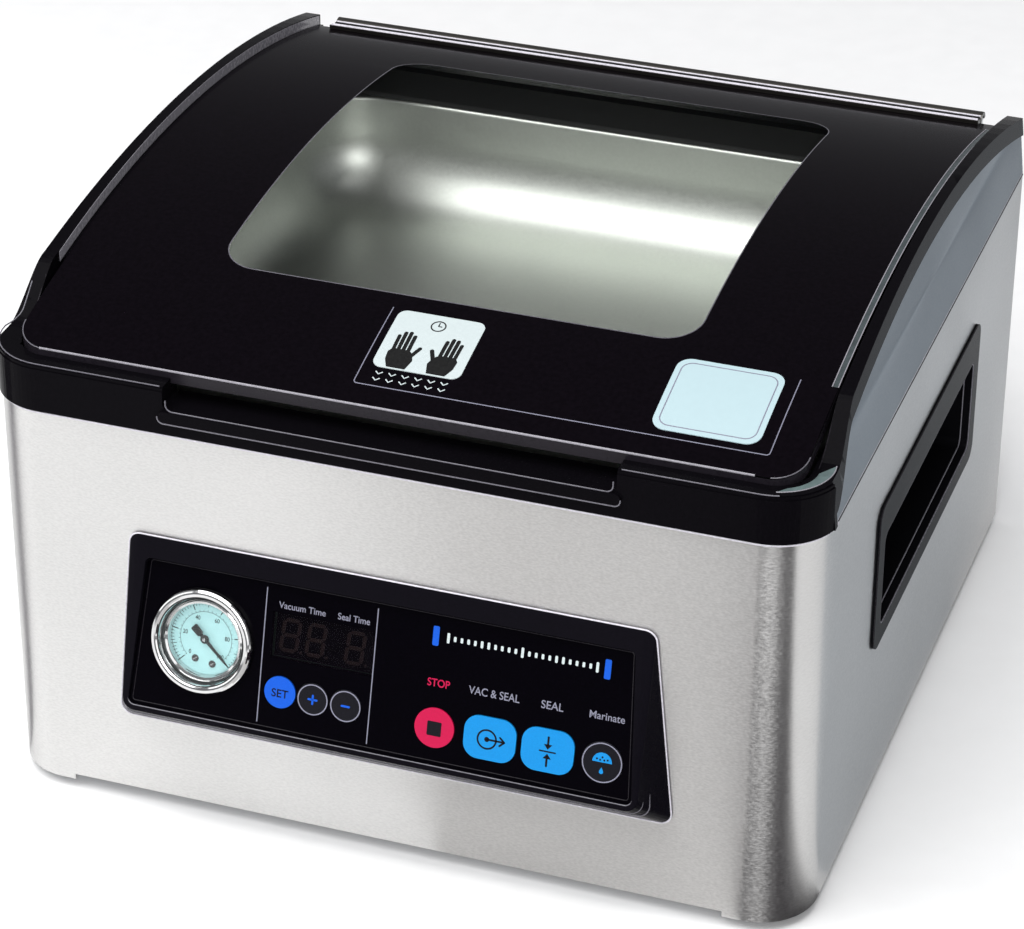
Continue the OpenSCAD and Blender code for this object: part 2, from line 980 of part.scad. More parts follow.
module pump_mounts() {
    color(rubber)
        for (x = [-74, 74], y = [pump_y - 20, pump_y + 20])
            rod_z(8, pan_z + floor_t, pump_z - 50, x, y);
}

module valve_block() {
    color("#3f5f8a")
        for (x = [port_x, -port_x])
            difference() {
                union() {
                    box(x - 15, x + 15, port_y - 14, port_y + 14, floor_z - 24, floor_z - 1.7);
                    rod_z(11, floor_z - 60, floor_z - 24, x, port_y);
                }
                rod_z(4, floor_z - 16, floor_z, x, port_y);
            }
}

// Hose in the plane x: up from z0, round a quarter bend, then back to y1.
module hose(r, x, y, z0, bend, y1) {
    z_bend = z0;
    translate([x, y + bend, z_bend])
        rotate([90, 0, 90])
            rotate([0, 0, 90])
                rotate_extrude(angle = 90)
                    translate([bend, 0])
                        circle(r = r);
    rod_y(r, y + bend, y1, x, z_bend + bend);
}

module hoses() {
    color("#d9d4c8")
        both_sides()
            hose(4, port_x + 8, pump_y, pump_z + 53, 14, port_y - 14);
}

module transformer() {
    x0 = -125;
    y0 = y_front + 72;
    z0 = pan_z + floor_t;
    color("#50545a")
        difference() {
            box(x0, x0 + 68, y0, y0 + 30, z0, z0 + 58);
            for (x = [x0 + 12, x0 + 44])
                box(x, x + 12, y0 - 1, y0 + 31, z0 + 12, z0 + 46);
        }
    color("#c98a3a")
        difference() {
            box(x0 + 13, x0 + 55, y0 - 10, y0 + 40, z0 + 13, z0 + 45);
            box(x0 + 23.5, x0 + 44.5, y0 - 11, y0 + 41, z0 + 11, z0 + 47);
        }
}

module power_board() {
    x0 = 28;
    y0 = y_front + 48;
    z0 = pan_z + floor_t;
    color("#2f6b3c")
        difference() {
            box(x0, x0 + 110, y0, y0 + 80, z0 + 8, z0 + 9.6);
            for (x = [x0 + 6, x0 + 104], y = [y0 + 6, y0 + 74])
                rod_z(1.6, z0 + 7, z0 + 11, x, y);
        }
    color("#d0cfc8")
        for (x = [x0 + 6, x0 + 104], y = [y0 + 6, y0 + 74])
            difference() {
                rod_z(3.5, z0, z0 + 8, x, y);
                rod_z(1.6, z0 - 1, z0 + 9, x, y);
            }
    color("#2d4e9a")
        for (i = [0:2])
            box(x0 + 16 + i * 24, x0 + 34 + i * 24, y0 + 52, y0 + 67, z0 + 9.6, z0 + 25);
    color("#26262a") {
        rod_z(8, z0 + 9.6, z0 + 38, x0 + 28, y0 + 24);
        rod_z(6, z0 + 9.6, z0 + 30, x0 + 50, y0 + 22);
        box(x0 + 66, x0 + 92, y0 + 14, y0 + 34, z0 + 9.6, z0 + 32);
    }
}

module rear_inlet() {
    color("#1a1a1c")
        difference() {
            union() {
                box(inlet_x - 25, inlet_x + 25, y_back - 0.2, y_back + 1.8, inlet_z - 12, inlet_z + 12);
                box(inlet_x - 13.6, inlet_x + 13.6, y_back - 24, y_back - 0.2, inlet_z - 9.6, inlet_z + 9.6);
            }
            box(inlet_x - 12, inlet_x + 12, y_back - 16, y_back + 3, inlet_z - 8, inlet_z + 8);
        }
    color(chrome)
        for (p = [[-7, -2], [0, 2], [7, -2]])
            box(inlet_x + p[0] - 1, inlet_x + p[0] + 1, y_back - 16, y_back - 4,
                inlet_z + p[1] - 2.5, inlet_z + p[1] + 2.5);
}

rocker_axis_y = y_back - 3;

module rocker_housing() {
    x = rocker_x;
    z = inlet_z;
    color("#1a1a1c")
        difference() {
            union() {
                box(x - 10, x + 10, y_back - 0.2, y_back + 1.2, z - 15, z + 15);
                box(x - 7.6, x + 7.6, y_back - 20, y_back - 0.2, z - 12.6, z + 12.6);
            }
            box(x - 5.6, x + 5.6, y_back - 14, y_back + 2, z - 11, z + 11);
            rod_x(1.5, x - 6.6, x + 6.6, rocker_axis_y, z);
        }
}

// Rocker in its off place, with its lower end pressed in.
module power_rocker() {
    color("#8c1f1f")
        translate([rocker_x, rocker_axis_y, inlet_z])
            rotate([-10, 0, 0]) {
                along_x(-5.2, 5.2)
                    polygon([[-4, -5], [1.6, -9], [3, -8.6], [2.4, 0], [3, 8.6], [1.6, 9], [-4, 5]]);
                rod_x(1.45, -6.4, 6.4, 0, 0);
            }
}

base_pan();
steel_wrap();
rear_panel();
cheek_left();
cheek_right();
top_frame();
chamber_tub();
chamber_rail_left();
chamber_rail_right();
handle_cup_left();
handle_cup_right();
feet();
foot_screws();
rear_screws();
hinge_rail();
console_bezel();
console_panel();
display_lens();
display_module();
display_digits();
key_board();
gauge_ring();
gauge_case();
gauge_dial();
gauge_lens();
gauge_needle();
key_set();
key_plus();
key_minus();
key_stop();
key_vac_seal();
key_seal();
key_marinate();
lid_pane();
lid_mask();
lid_frame();
lid_gasket();
lid_rear_profile();
counter_bar();
counter_pad();
press_label();
badge();
seal_bar();
seal_wire();
seal_tape();
bar_posts();
lift_cylinders();
lid_switch();
lid_plunger();
pump_motor();
pump_heads();
pump_rotor();
pump_mounts();
valve_block();
hoses();
transformer();
power_board();
rear_inlet();
rocker_housing();
power_rocker();
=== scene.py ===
"""Tabletop chamber vacuum sealer: materials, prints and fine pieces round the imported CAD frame.

Metres in Blender. Shapes are drawn in millimetres and scaled as they are placed.
X runs to the right, Y to the back and Z up, from the centre of the footprint on the floor.
"""

import json
import math

import bmesh
import bpy
from mathutils import Matrix, Vector


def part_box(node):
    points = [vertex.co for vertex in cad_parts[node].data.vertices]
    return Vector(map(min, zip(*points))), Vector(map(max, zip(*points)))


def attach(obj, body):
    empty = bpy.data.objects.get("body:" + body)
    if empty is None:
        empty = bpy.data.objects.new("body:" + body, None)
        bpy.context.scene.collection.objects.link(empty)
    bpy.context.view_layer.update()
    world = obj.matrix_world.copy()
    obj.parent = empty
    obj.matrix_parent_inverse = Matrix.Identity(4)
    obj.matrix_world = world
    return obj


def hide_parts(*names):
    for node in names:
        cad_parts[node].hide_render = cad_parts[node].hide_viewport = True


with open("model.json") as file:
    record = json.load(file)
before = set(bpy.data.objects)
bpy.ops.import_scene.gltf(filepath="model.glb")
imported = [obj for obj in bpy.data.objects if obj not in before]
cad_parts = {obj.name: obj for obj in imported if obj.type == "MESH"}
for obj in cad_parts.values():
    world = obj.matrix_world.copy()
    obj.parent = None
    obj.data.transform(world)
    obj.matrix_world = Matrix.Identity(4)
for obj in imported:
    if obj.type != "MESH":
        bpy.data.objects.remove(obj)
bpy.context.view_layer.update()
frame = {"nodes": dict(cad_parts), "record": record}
nodes = frame["nodes"]
MM = 0.001

# Sizes in millimetres and angles in radians that part.scad also uses.
Y_FRONT, Y_BACK, HALF_W = -169.0, 187.0, 180.0
SEAM_Z, BAND_TOP = 189.0, 211.0
ARCH_Y, ARCH_Z, ARCH_R = 12.0, -365.0, 604.0
CORNER_R = 26.0
TILT = math.radians(16)
PANEL_Y, PANEL_Z = -178.02, 97.0
CHEEK_LEAN = math.radians(6.3)
CHEEK_R = 599.4
CHEEK_FRONT, ARCH_FRONT = -147.0, -114.5
PANE_FRONT, PANE_BACK, PANE_HALF = -160.8, 177.8, 168.4
RAIL_R, RAIL_IN = 608.0, 170.6
HINGE_Y, HINGE_Z, KNUCKLE_R = 184.2, 213.6, 4.8
HANDLE_Y, HANDLE_Z = 18.0, 117.5
GAUGE = (-80.0, 0.5)
DIGITS_U = 9.2
KEY_FACE = 0.4
POST_X, POST_Y, POST_HOLE = 95.0, -106.0, 6.5

# Sizes in millimetres of what only this script draws.
INK, DIAL_INK = 0.06, 0.05
PANE_CORNER = 14.0
LABEL_TOP = ARCH_R + 0.36
PANEL_WORD_U, CAPTION_U, BAR_U = 22.6, 2.4, 22.2
DIGIT_DEPTH, DIGIT_THICK = -2.7, 0.4
DIAL_FACE, TICK_R, INNER_R = -3.1, 15.6, 11.6
BASIN_HALF, BASIN_FRONT, BASIN_BACK = 155.0, -124.0, 136.0
BASIN_FLOOR, BASIN_RIM, BASIN_SKIN = 155.3, 203.0, 1.5


def add_object(name, data):
    made = bpy.data.objects.new(name, data)
    bpy.context.scene.collection.objects.link(made)
    return made


# ---- Camera, lights and world ----


def add_camera():
    data = bpy.data.cameras.new("camera")
    data.lens = 132.45
    data.sensor_width = 36
    camera = add_object("camera", data)
    yaw, pitch, roll = math.radians(19.14), math.radians(30.42), math.radians(0.29)
    turn = (
        Matrix.Rotation(yaw, 4, "Z")
        @ Matrix.Rotation(math.pi / 2 - pitch, 4, "X")
        @ Matrix.Rotation(roll, 4, "Z")
    )
    camera.matrix_world = Matrix.Translation((0.474, -1.382, 0.958)) @ turn
    bpy.context.scene.camera = camera


def add_light(name, place, target, size, watts, size_y=None):
    """A square area light aimed at the target, or a rectangular one if it has a size_y."""
    data = bpy.data.lights.new(name, "AREA")
    data.energy = watts
    data.size = size
    if size_y:
        data.shape = "RECTANGLE"
        data.size_y = size_y
    lamp = add_object(name, data)
    lamp.location = place
    aim = Vector(target) - Vector(place)
    lamp.rotation_euler = aim.to_track_quat("-Z", "Y").to_euler()


def add_world(strength, tint):
    world = bpy.data.worlds.new("studio")
    world.use_nodes = True
    sky = world.node_tree.nodes["Background"]
    sky.inputs["Color"].default_value = (*tint, 1)
    sky.inputs["Strength"].default_value = strength
    bpy.context.scene.world = world


# ---- Materials ----


def noise(tree, scale, detail=3.0, stretch=(1, 1, 1)):
    """A noise node in object coordinates, in metres; stretch scales each axis."""
    where = tree.nodes.new("ShaderNodeTexCoord")
    spread = tree.nodes.new("ShaderNodeMapping")
    spread.inputs["Scale"].default_value = [scale * s for s in stretch]
    made = tree.nodes.new("ShaderNodeTexNoise")
    made.inputs["Scale"].default_value = 1.0
    made.inputs["Detail"].default_value = detail
    tree.links.new(where.outputs["Object"], spread.inputs["Vector"])
    tree.links.new(spread.outputs["Vector"], made.inputs["Vector"])
    return made.outputs["Fac"]


def between(tree, factor, low, high):
    """Maps a 0.3 to 0.7 factor to low to high."""
    made = tree.nodes.new("ShaderNodeMapRange")
    made.inputs["From Min"].default_value = 0.3
    made.inputs["From Max"].default_value = 0.7
    made.inputs["To Min"].default_value = low
    made.inputs["To Max"].default_value = high
    tree.links.new(factor, made.inputs["Value"])
    return made.outputs["Result"]


def tinted(tree, factor, low, high):
    made = tree.nodes.new("ShaderNodeMix")
    made.data_type = "RGBA"
    made.inputs["A"].default_value = (*low, 1)
    made.inputs["B"].default_value = (*high, 1)
    tree.links.new(factor, made.inputs["Factor"])
    return made.outputs["Result"]


def finish_of(
    name,
    tint,
    rough,
    metal=0.0,
    vary=0.08,
    rough_vary=0.05,
    grain=900.0,
    stretch=(1, 1, 1),
    bump=0.0,
    bump_mm=0.02,
    cloud=12.0,
    **sockets,
):
    """A Principled material whose colour and relief vary with a fine grain of noise.

    Its roughness varies with the grain and with a slower cloud.
    """
    made = bpy.data.materials.new(name)
    made.use_nodes = True
    tree = made.node_tree
    shader = tree.nodes["Principled BSDF"]
    shader.inputs["Metallic"].default_value = metal
    for socket, value in sockets.items():
        shader.inputs[socket.replace("_", " ")].default_value = value
    fine = noise(tree, grain, stretch=stretch)
    slow = noise(tree, cloud, 2.0)
    low = [c * (1 - vary) for c in tint]
    high = [min(1.0, c * (1 + vary)) for c in tint]
    tree.links.new(tinted(tree, between(tree, fine, 0, 1), low, high), shader.inputs["Base Color"])
    both = tree.nodes.new("ShaderNodeMath")
    both.operation = "ADD"
    tree.links.new(between(tree, fine, rough - rough_vary, rough + rough_vary), both.inputs[0])
    tree.links.new(between(tree, slow, -rough_vary / 2, rough_vary / 2), both.inputs[1])
    tree.links.new(both.outputs["Value"], shader.inputs["Roughness"])
    if bump:
        relief = tree.nodes.new("ShaderNodeBump")
        relief.inputs["Strength"].default_value = bump
        relief.inputs["Distance"].default_value = bump_mm * MM
        tree.links.new(fine, relief.inputs["Height"])
        tree.links.new(relief.outputs["Normal"], shader.inputs["Normal"])
    return made


def brushed(name, tint, rough, stretch, **more):
    """Brushed metal whose highlights spread round Z, or upwards if turned by a rotation of 0.25."""
    made = finish_of(name, tint, rough, metal=1.0, grain=1.0, stretch=stretch, **more)
    tree = made.node_tree
    shader = tree.nodes["Principled BSDF"]
    around = tree.nodes.new("ShaderNodeTangent")
    around.direction_type = "RADIAL"
    around.axis = "Z"
    tree.links.new(around.outputs["Tangent"], shader.inputs["Tangent"])
    return made


# Grains of noise per metre along each axis of the brushed sheets.
SPECKLE = (620, 620, 1500)
KEY_GLOSS = dict(vary=0.05, grain=1500, bump=0.05, bump_mm=0.004, Specular_IOR_Level=0.25)
FINISH = {
    "wrap_steel": brushed(
        "wrap_steel", (0.655, 0.65, 0.64), 0.38, SPECKLE, vary=0.09, rough_vary=0.05,
        bump=0.3, bump_mm=0.02, Anisotropic=0.85, Anisotropic_Rotation=0.25,
    ),
    "cheek_steel": brushed(
        "cheek_steel", (0.205, 0.235, 0.265), 0.36, SPECKLE, vary=0.08, rough_vary=0.05,
        bump=0.2, bump_mm=0.02, Anisotropic=0.6, Anisotropic_Rotation=0.25,
    ),
    "chassis_steel": finish_of(
        "chassis_steel", (0.42, 0.43, 0.45), 0.38, 1.0, vary=0.12, grain=160, cloud=30,
    ),
    "tub_steel": finish_of(
        "tub_steel", (0.55, 0.575, 0.535), 0.43, 1.0, vary=0.04, rough_vary=0.03, grain=700,
        bump=0.06, bump_mm=0.01,
    ),
    "frame_plastic": finish_of(
        "frame_plastic", (0.0030, 0.0026, 0.0036), 0.2, vary=0.2, grain=1400, rough_vary=0.02,
        Specular_IOR_Level=0.02,
    ),
    "handle_plastic": finish_of(
        "handle_plastic", (0.004, 0.004, 0.005), 0.3, vary=0.2, grain=1800, rough_vary=0.03,
        bump=0.08, bump_mm=0.01, Specular_IOR_Level=0.02,
    ),
    "pane": finish_of(
        "pane", (0.03, 0.035, 0.035), 0.03, vary=0.1, grain=40, rough_vary=0.005, Alpha=0.025,
    ),
    "pane_print": finish_of(
        "pane_print", (0.0026, 0.0018, 0.0030), 0.14, vary=0.2, grain=500, rough_vary=0.008,
        Specular_IOR_Level=0.03,
    ),
    "lid_plastic": finish_of(
        "lid_plastic", (0.003, 0.003, 0.003), 0.42, vary=0.2, grain=1600, bump=0.2, bump_mm=0.01,
        Specular_IOR_Level=0.1,
    ),
    "gasket_rubber": finish_of(
        "gasket_rubber", (0.012, 0.012, 0.012), 0.6, vary=0.2, grain=1200, bump=0.2, bump_mm=0.01,
        Specular_IOR_Level=0.3,
    ),
    "pad_rubber": finish_of(
        "pad_rubber", (0.42, 0.10, 0.05), 0.55, vary=0.1, grain=900, bump=0.2, bump_mm=0.01,
    ),
    "foot_rubber": finish_of(
        "foot_rubber", (0.012, 0.012, 0.013), 0.7, vary=0.25, grain=1000, bump=0.3, bump_mm=0.02,
        Specular_IOR_Level=0.3,
    ),
    "aluminium": brushed(
        "aluminium", (0.72, 0.72, 0.71), 0.28, (60, 2200, 2200), vary=0.06, rough_vary=0.05,
        bump=0.15, bump_mm=0.01, Anisotropic=0.3,
    ),
    "hinge_alu": finish_of(
        "hinge_alu", (0.115, 0.108, 0.098), 0.34, 1.0, vary=0.12, grain=1.0,
        stretch=(30, 2200, 2200), bump=0.12, bump_mm=0.01,
    ),
    "cast_alu": finish_of(
        "cast_alu", (0.50, 0.51, 0.52), 0.5, 1.0, vary=0.1, grain=500, bump=0.4, bump_mm=0.05,
    ),
    "chrome": finish_of(
        "chrome", (0.62, 0.62, 0.62), 0.08, 1.0, vary=0.02, grain=700, rough_vary=0.02,
    ),
    "screw_metal": finish_of(
        "screw_metal", (0.6, 0.6, 0.61), 0.24, 1.0, vary=0.06, grain=900, rough_vary=0.06,
    ),
    # Pale and mid grey: painted highlights on edges. Dim grey: painted highlights, save the
    # window's outline.
    "highlight_pale": finish_of("highlight_pale", (0.62, 0.60, 0.66), 0.25, vary=0.1, grain=500),
    "highlight_mid": finish_of("highlight_mid", (0.27, 0.26, 0.29), 0.25, vary=0.1, grain=500),
    "edge_dim": finish_of("edge_dim", (0.12, 0.115, 0.135), 0.25, vary=0.15, grain=500),
    # Dim teal grey of a painted reflection along the pane's right margin.
    "reflection_dim": finish_of(
        "reflection_dim", (0.048, 0.060, 0.064), 0.25, vary=0.2, grain=220, Specular_IOR_Level=0.3,
    ),
    "edge_dark": finish_of(
        "edge_dark", (0.013, 0.011, 0.015), 0.3, vary=0.15, grain=500, Specular_IOR_Level=0.2,
    ),
    # Pale teal of a painted reflection on the frame's right front corner.
    "reflection_teal": finish_of("reflection_teal", (0.10, 0.14, 0.14), 0.25, vary=0.2, grain=220, cloud=40),
    "console_plastic": finish_of(
        "console_plastic", (0.0035, 0.003, 0.005), 0.2, vary=0.2, grain=1400, rough_vary=0.02,
        Specular_IOR_Level=0.035,
    ),
    "panel_film": finish_of(
        "panel_film", (0.0009, 0.0006, 0.0016), 0.24, vary=0.25, grain=1200, rough_vary=0.02,
        Specular_IOR_Level=0.02,
    ),
    "smoked": finish_of(
        "smoked", (0.0022, 0.0016, 0.0032), 0.22, vary=0.2, grain=900, rough_vary=0.02, Alpha=0.5,
        Specular_IOR_Level=0.05,
    ),
    "segment": finish_of("segment", (0.085, 0.045, 0.036), 0.5, vary=0.2, grain=1500),
    "module_dark": finish_of(
        "module_dark", (0.003, 0.002, 0.003), 0.5, vary=0.2, grain=1500, Specular_IOR_Level=0.05,
    ),
    "white_plastic": finish_of("white_plastic", (0.66, 0.65, 0.61), 0.4, vary=0.04),
    "board": finish_of("board", (0.03, 0.13, 0.05), 0.4, vary=0.2, grain=700, bump=0.2),
    "gauge_body": finish_of("gauge_body", (0.014, 0.014, 0.016), 0.35, vary=0.2),
    "dial_face": finish_of("dial_face", (0.40, 0.70, 0.71), 0.45, vary=0.03, grain=500),
    "gauge_glass": finish_of(
        "gauge_glass", (0.3, 0.33, 0.33), 0.02, vary=0.1, grain=40, rough_vary=0.005, Alpha=0.06,
    ),
    "needle_black": finish_of(
        "needle_black", (0.004, 0.004, 0.004), 0.35, vary=0.2, Specular_IOR_Level=0.3,
    ),
    "key_blue": finish_of("key_blue", (0.001, 0.080, 0.52), 0.35, **KEY_GLOSS),
    "key_sky": finish_of("key_sky", (0.001, 0.21, 0.54), 0.35, **KEY_GLOSS),
    "key_black": finish_of(
        "key_black", (0.003, 0.003, 0.006), 0.22, vary=0.2, grain=1500, rough_vary=0.02,
        Specular_IOR_Level=0.2,
    ),
    "key_red": finish_of("key_red", (0.45, 0.002, 0.052), 0.35, **KEY_GLOSS),
    "label_white": finish_of(
        "label_white", (0.50, 0.565, 0.57), 0.35, vary=0.02, rough_vary=0.01, grain=600,
    ),
    "print_grey": finish_of("print_grey", (0.19, 0.19, 0.25), 0.4, vary=0.08, grain=600),
    "badge_blue": finish_of(
        "badge_blue", (0.41, 0.54, 0.575), 0.35, vary=0.01, rough_vary=0.01, grain=300,
    ),
    "wire_metal": finish_of("wire_metal", (0.42, 0.38, 0.34), 0.35, 1.0, vary=0.1),
    "tape": finish_of("tape", (0.32, 0.24, 0.13), 0.6, vary=0.15, grain=1100, bump=0.4),
    "motor_paint": finish_of("motor_paint", (0.09, 0.10, 0.12), 0.45, 0.2, vary=0.1, bump=0.2),
    "valve_blue": finish_of("valve_blue", (0.05, 0.12, 0.32), 0.3, 0.8, vary=0.08),
    "hose_rubber": finish_of("hose_rubber", (0.5, 0.48, 0.42), 0.4, vary=0.06),
    "copper_core": finish_of("copper_core", (0.34, 0.22, 0.13), 0.4, 0.7, vary=0.2, grain=300),
    "rocker_red": finish_of("rocker_red", (0.42, 0.02, 0.02), 0.25, vary=0.08),
}

OTHER_FINISH = {
    "key_vac_seal": "key_sky",
    "key_seal": "key_sky",
    "lid_rear_profile": "hinge_alu",
    "display_module": "module_dark",
}


def paint_nodes():
    """Gives every CAD node the finish of its slot, or another one that suits it better."""
    slots = {part["node"]: part["material_slot"] for part in frame["record"]["subparts"]}
    for name, obj in nodes.items():
        made = FINISH[OTHER_FINISH.get(name, slots[name])]
        for held in obj.material_slots:
            held.material = made


# ---- Shapes ----


def steps(start, end, n):
    """The n + 1 ends of n even steps."""
    return [start + (end - start) * i / n for i in range(n + 1)]


def mesh_from(obj):
    """The mesh of an object as its modifiers leave it."""
    shown = obj.evaluated_get(bpy.context.evaluated_depsgraph_get())
    return bpy.data.meshes.new_from_object(shown)


def mesh_of_curve(curve):
    holder = add_object("holder", curve)
    made = mesh_from(holder)
    bpy.data.objects.remove(holder)
    return made


def mesh_of_faces(bm, name):
    """The faces as a mesh; the bmesh is freed."""
    made = bpy.data.meshes.new(name)
    bm.to_mesh(made)
    bm.free()
    return made


def filled(loops, thick, edge=0.0):
    """A flat shape from closed loops; a loop inside another is a hole. Its foot is at height 0."""
    curve = bpy.data.curves.new("filled", "CURVE")
    curve.dimensions = "2D"
    curve.fill_mode = "BOTH"
    curve.extrude = thick / 2 - edge
    curve.bevel_depth = edge
    curve.bevel_resolution = 1
    if edge:
        curve.offset = -edge
    for loop in loops:
        spline = curve.splines.new("POLY")
        spline.points.add(len(loop) - 1)
        for point, (x, y) in zip(spline.points, loop):
            point.co = (x, y, 0, 1)
        spline.use_cyclic_u = True
    made = mesh_of_curve(curve)
    made.transform(Matrix.Translation((0, 0, thick / 2)))
    return made


def words(text, height, thick, wide=1.0, bold=0.0):
    """Letters about the origin, with capitals of that height."""
    size_per_capital = 1.38
    curve = bpy.data.curves.new("words", "FONT")
    curve.body = text
    curve.size = height * size_per_capital
    curve.align_x = "CENTER"
    curve.extrude = thick / 2
    curve.offset = bold
    curve.resolution_u = 6
    made = mesh_of_curve(curve)
    made.transform(Matrix.Translation((0, -height / 2, thick / 2)))
    made.transform(Matrix.Diagonal((wide, 1, 1, 1)))
    return made


def arc(x, y, r, a0, a1, n=12):
    """Points of an arc, in degrees."""
    turns = [math.radians(a) for a in steps(a0, a1, n)]
    return [(x + r * math.cos(a), y + r * math.sin(a)) for a in turns]


def circle(x, y, r, n=40):
    return arc(x, y, r, 0, 360, n)[:-1]


def rounded(x, y, w, h, r, n=6):
    """Outline of a round-cornered rectangle about (x, y)."""
    return (
        arc(x + w / 2 - r, y + h / 2 - r, r, 0, 90, n)
        + arc(x - w / 2 + r, y + h / 2 - r, r, 90, 180, n)
        + arc(x - w / 2 + r, y - h / 2 + r, r, 180, 270, n)
        + arc(x + w / 2 - r, y - h / 2 + r, r, 270, 360, n)
    )


def bar(x0, y0, x1, y1, w):
    """Outline of a straight stroke with round ends."""
    turn = math.degrees(math.atan2(y1 - y0, x1 - x0))
    far = arc(x1, y1, w / 2, turn - 90, turn + 90, 6)
    return far + arc(x0, y0, w / 2, turn + 90, turn + 270, 6)


def ring(x, y, r, w, n=48):
    """Two loops that leave a ring."""
    return [circle(x, y, r + w / 2, n), circle(x, y, r - w / 2, n)]


def stroke(path, w, thick, closed=False):
    """A ribbon of that width along a path, with a crowned top."""
    profile = ((-1, 0), (-1, 0.6), (-0.6, 1), (0.6, 1), (1, 0.6), (1, 0))
    bm = bmesh.new()
    rows = []
    n = len(path)
    for i, (x, y) in enumerate(path):
        before = path[i - 1] if i or closed else path[i]
        after = path[(i + 1) % n] if i < n - 1 or closed else path[i]
        along = Vector((after[0] - before[0], after[1] - before[1])).normalized()
        side = Vector((-along.y, along.x)) * (w / 2)
        row = [(x + side.x * s, y + side.y * s, thick * h) for s, h in profile]
        rows.append([bm.verts.new(p) for p in row])
    last = n if closed else n - 1
    for i in range(last):
        a, b = rows[i], rows[(i + 1) % n]
        for k in range(len(profile)):
            j = (k + 1) % len(profile)
            bm.faces.new((a[k], b[k], b[j], a[j]))
    if not closed:
        bm.faces.new(rows[0])
        bm.faces.new(rows[-1][::-1])
    bmesh.ops.recalc_face_normals(bm, faces=bm.faces)
    return mesh_of_faces(bm, "stroke")


def split_path(path, step):
    """The path with points no further apart than step."""
    made = [path[0]]
    for a, b in zip(path, path[1:]):
        n = max(1, math.ceil(math.dist(a, b) / step))
        made += list(zip(steps(a[0], b[0], n), steps(a[1], b[1], n)))[1:]
    return made


def wire(path, r, closed=False):
    """A round wire of radius r along points in 3D, in millimetres."""
    curve = bpy.data.curves.new("wire", "CURVE")
    curve.dimensions = "3D"
    curve.bevel_depth = r
    curve.bevel_resolution = 2
    curve.use_fill_caps = True
    spline = curve.splines.new("POLY")
    spline.points.add(len(path) - 1)
    for point, at in zip(spline.points, path):
        point.co = (*at, 1)
    spline.use_cyclic_u = closed
    return mesh_of_curve(curve)


def spun(profile, n=48):
    """A turned solid about Z from (radius, height) points."""
    bm = bmesh.new()
    verts = [bm.verts.new((r, 0, z)) for r, z in profile]
    edges = [bm.edges.new(pair) for pair in zip(verts, verts[1:])]
    bmesh.ops.spin(
        bm, geom=verts + edges, cent=(0, 0, 0), axis=(0, 0, 1), angle=2 * math.pi, steps=n,
        use_merge=True,
    )
    bmesh.ops.remove_doubles(bm, verts=bm.verts, dist=1e-5)
    bmesh.ops.recalc_face_normals(bm, faces=bm.faces)
    return mesh_of_faces(bm, "spun")


def carved(mesh, cutters):
    """The mesh with the cutters' volumes taken out of it."""
    block = add_object("block", mesh)
    tools = [add_object("tool", cutter) for cutter in cutters]
    for tool in tools:
        cut = block.modifiers.new("cut", "BOOLEAN")
        cut.object = tool
        cut.solver = "EXACT"
    made = mesh_from(block)
    for used in [block] + tools:
        bpy.data.objects.remove(used)
    return made


def sliced(mesh, step):
    """The mesh cut across Y at every step, so that it can follow the arch."""
    bm = bmesh.new()
    bm.from_mesh(mesh)
    low = min(v.co.y for v in bm.verts)
    high = max(v.co.y for v in bm.verts)
    n = math.ceil((high - low) / step)
    for y in steps(low, high, n)[1:-1]:
        every = bm.verts[:] + bm.edges[:] + bm.faces[:]
        bmesh.ops.bisect_plane(bm, geom=every, plane_co=(0, y, 0), plane_no=(0, 1, 0))
    bm.to_mesh(mesh)
    bm.free()
    return mesh


def lofted(rows):
    """A solid through closed rows of equally many points, with its first and last row filled."""
    bm = bmesh.new()
    loops = [[bm.verts.new(p) for p in row] for row in rows]
    n = len(rows[0])
    for a, b in zip(loops, loops[1:]):
        for k in range(n):
            j = (k + 1) % n
            bm.faces.new((a[k], a[j], b[j], b[k]))
    bm.faces.new(loops[0][::-1])
    bm.faces.new(loops[-1])
    bmesh.ops.recalc_face_normals(bm, faces=bm.faces)
    return mesh_of_faces(bm, "lofted")


def swept(profile, depths, height):
    """A bar along Y with a closed (x, rise) profile, whose base height follows height(y)."""
    return lofted([[(x, y, height(y) + rise) for x, rise in profile] for y in depths])


# ---- Heights over the depth of the machine, in millimetres ----


def arch_z(y, r):
    return ARCH_Z + math.sqrt(r * r - (y - ARCH_Y) ** 2)


def step_up(y, y0, z0, y1, z1):
    """Height at y of an S-shaped step between (y0, z0) and (y1, z1)."""
    t = min(1.0, max(0.0, (y - y0) / (y1 - y0)))
    return z0 + (z1 - z0) * (3 - 2 * t) * t * t


def pane_top(y):
    return arch_z(y, ARCH_R)


def frame_top(y):
    """Height of the top of the black frame at depth y."""
    y0, y1 = CHEEK_FRONT + 4, ARCH_FRONT + 4
    if y > y1:
        return arch_z(y, RAIL_R)
    return step_up(y, y0, BAND_TOP, y1, arch_z(y1, RAIL_R))


def cheek_top(y):
    """Height of the upper edge of a cheek at depth y, before it leans."""
    if y > ARCH_FRONT:
        return arch_z(y, CHEEK_R)
    return step_up(y, CHEEK_FRONT, SEAM_Z + 6, ARCH_FRONT, arch_z(ARCH_FRONT, CHEEK_R))


# ---- Places: each maps a shape's millimetres to metres on the machine ----


def on_panel(x0=0.0, u0=0.0, out=0.0, turn=0.0):
    """On the tilted panel: u runs up its slope and out leaves its face."""
    c, s = math.cos(math.radians(turn)), math.sin(math.radians(turn))

    def place(p):
        x, u, d = x0 + p.x * c - p.y * s, u0 + p.x * s + p.y * c, out + p.z
        y = PANEL_Y - d * math.cos(TILT) + u * math.sin(TILT)
        z = PANEL_Z + d * math.sin(TILT) + u * math.cos(TILT)
        return Vector((x, y, z)) * MM

    return place


def on_arch(r=ARCH_R):
    """Bent over the arch of that radius."""

    def place(p):
        return Vector((p.x, p.y, arch_z(p.y, r + p.z))) * MM

    return place


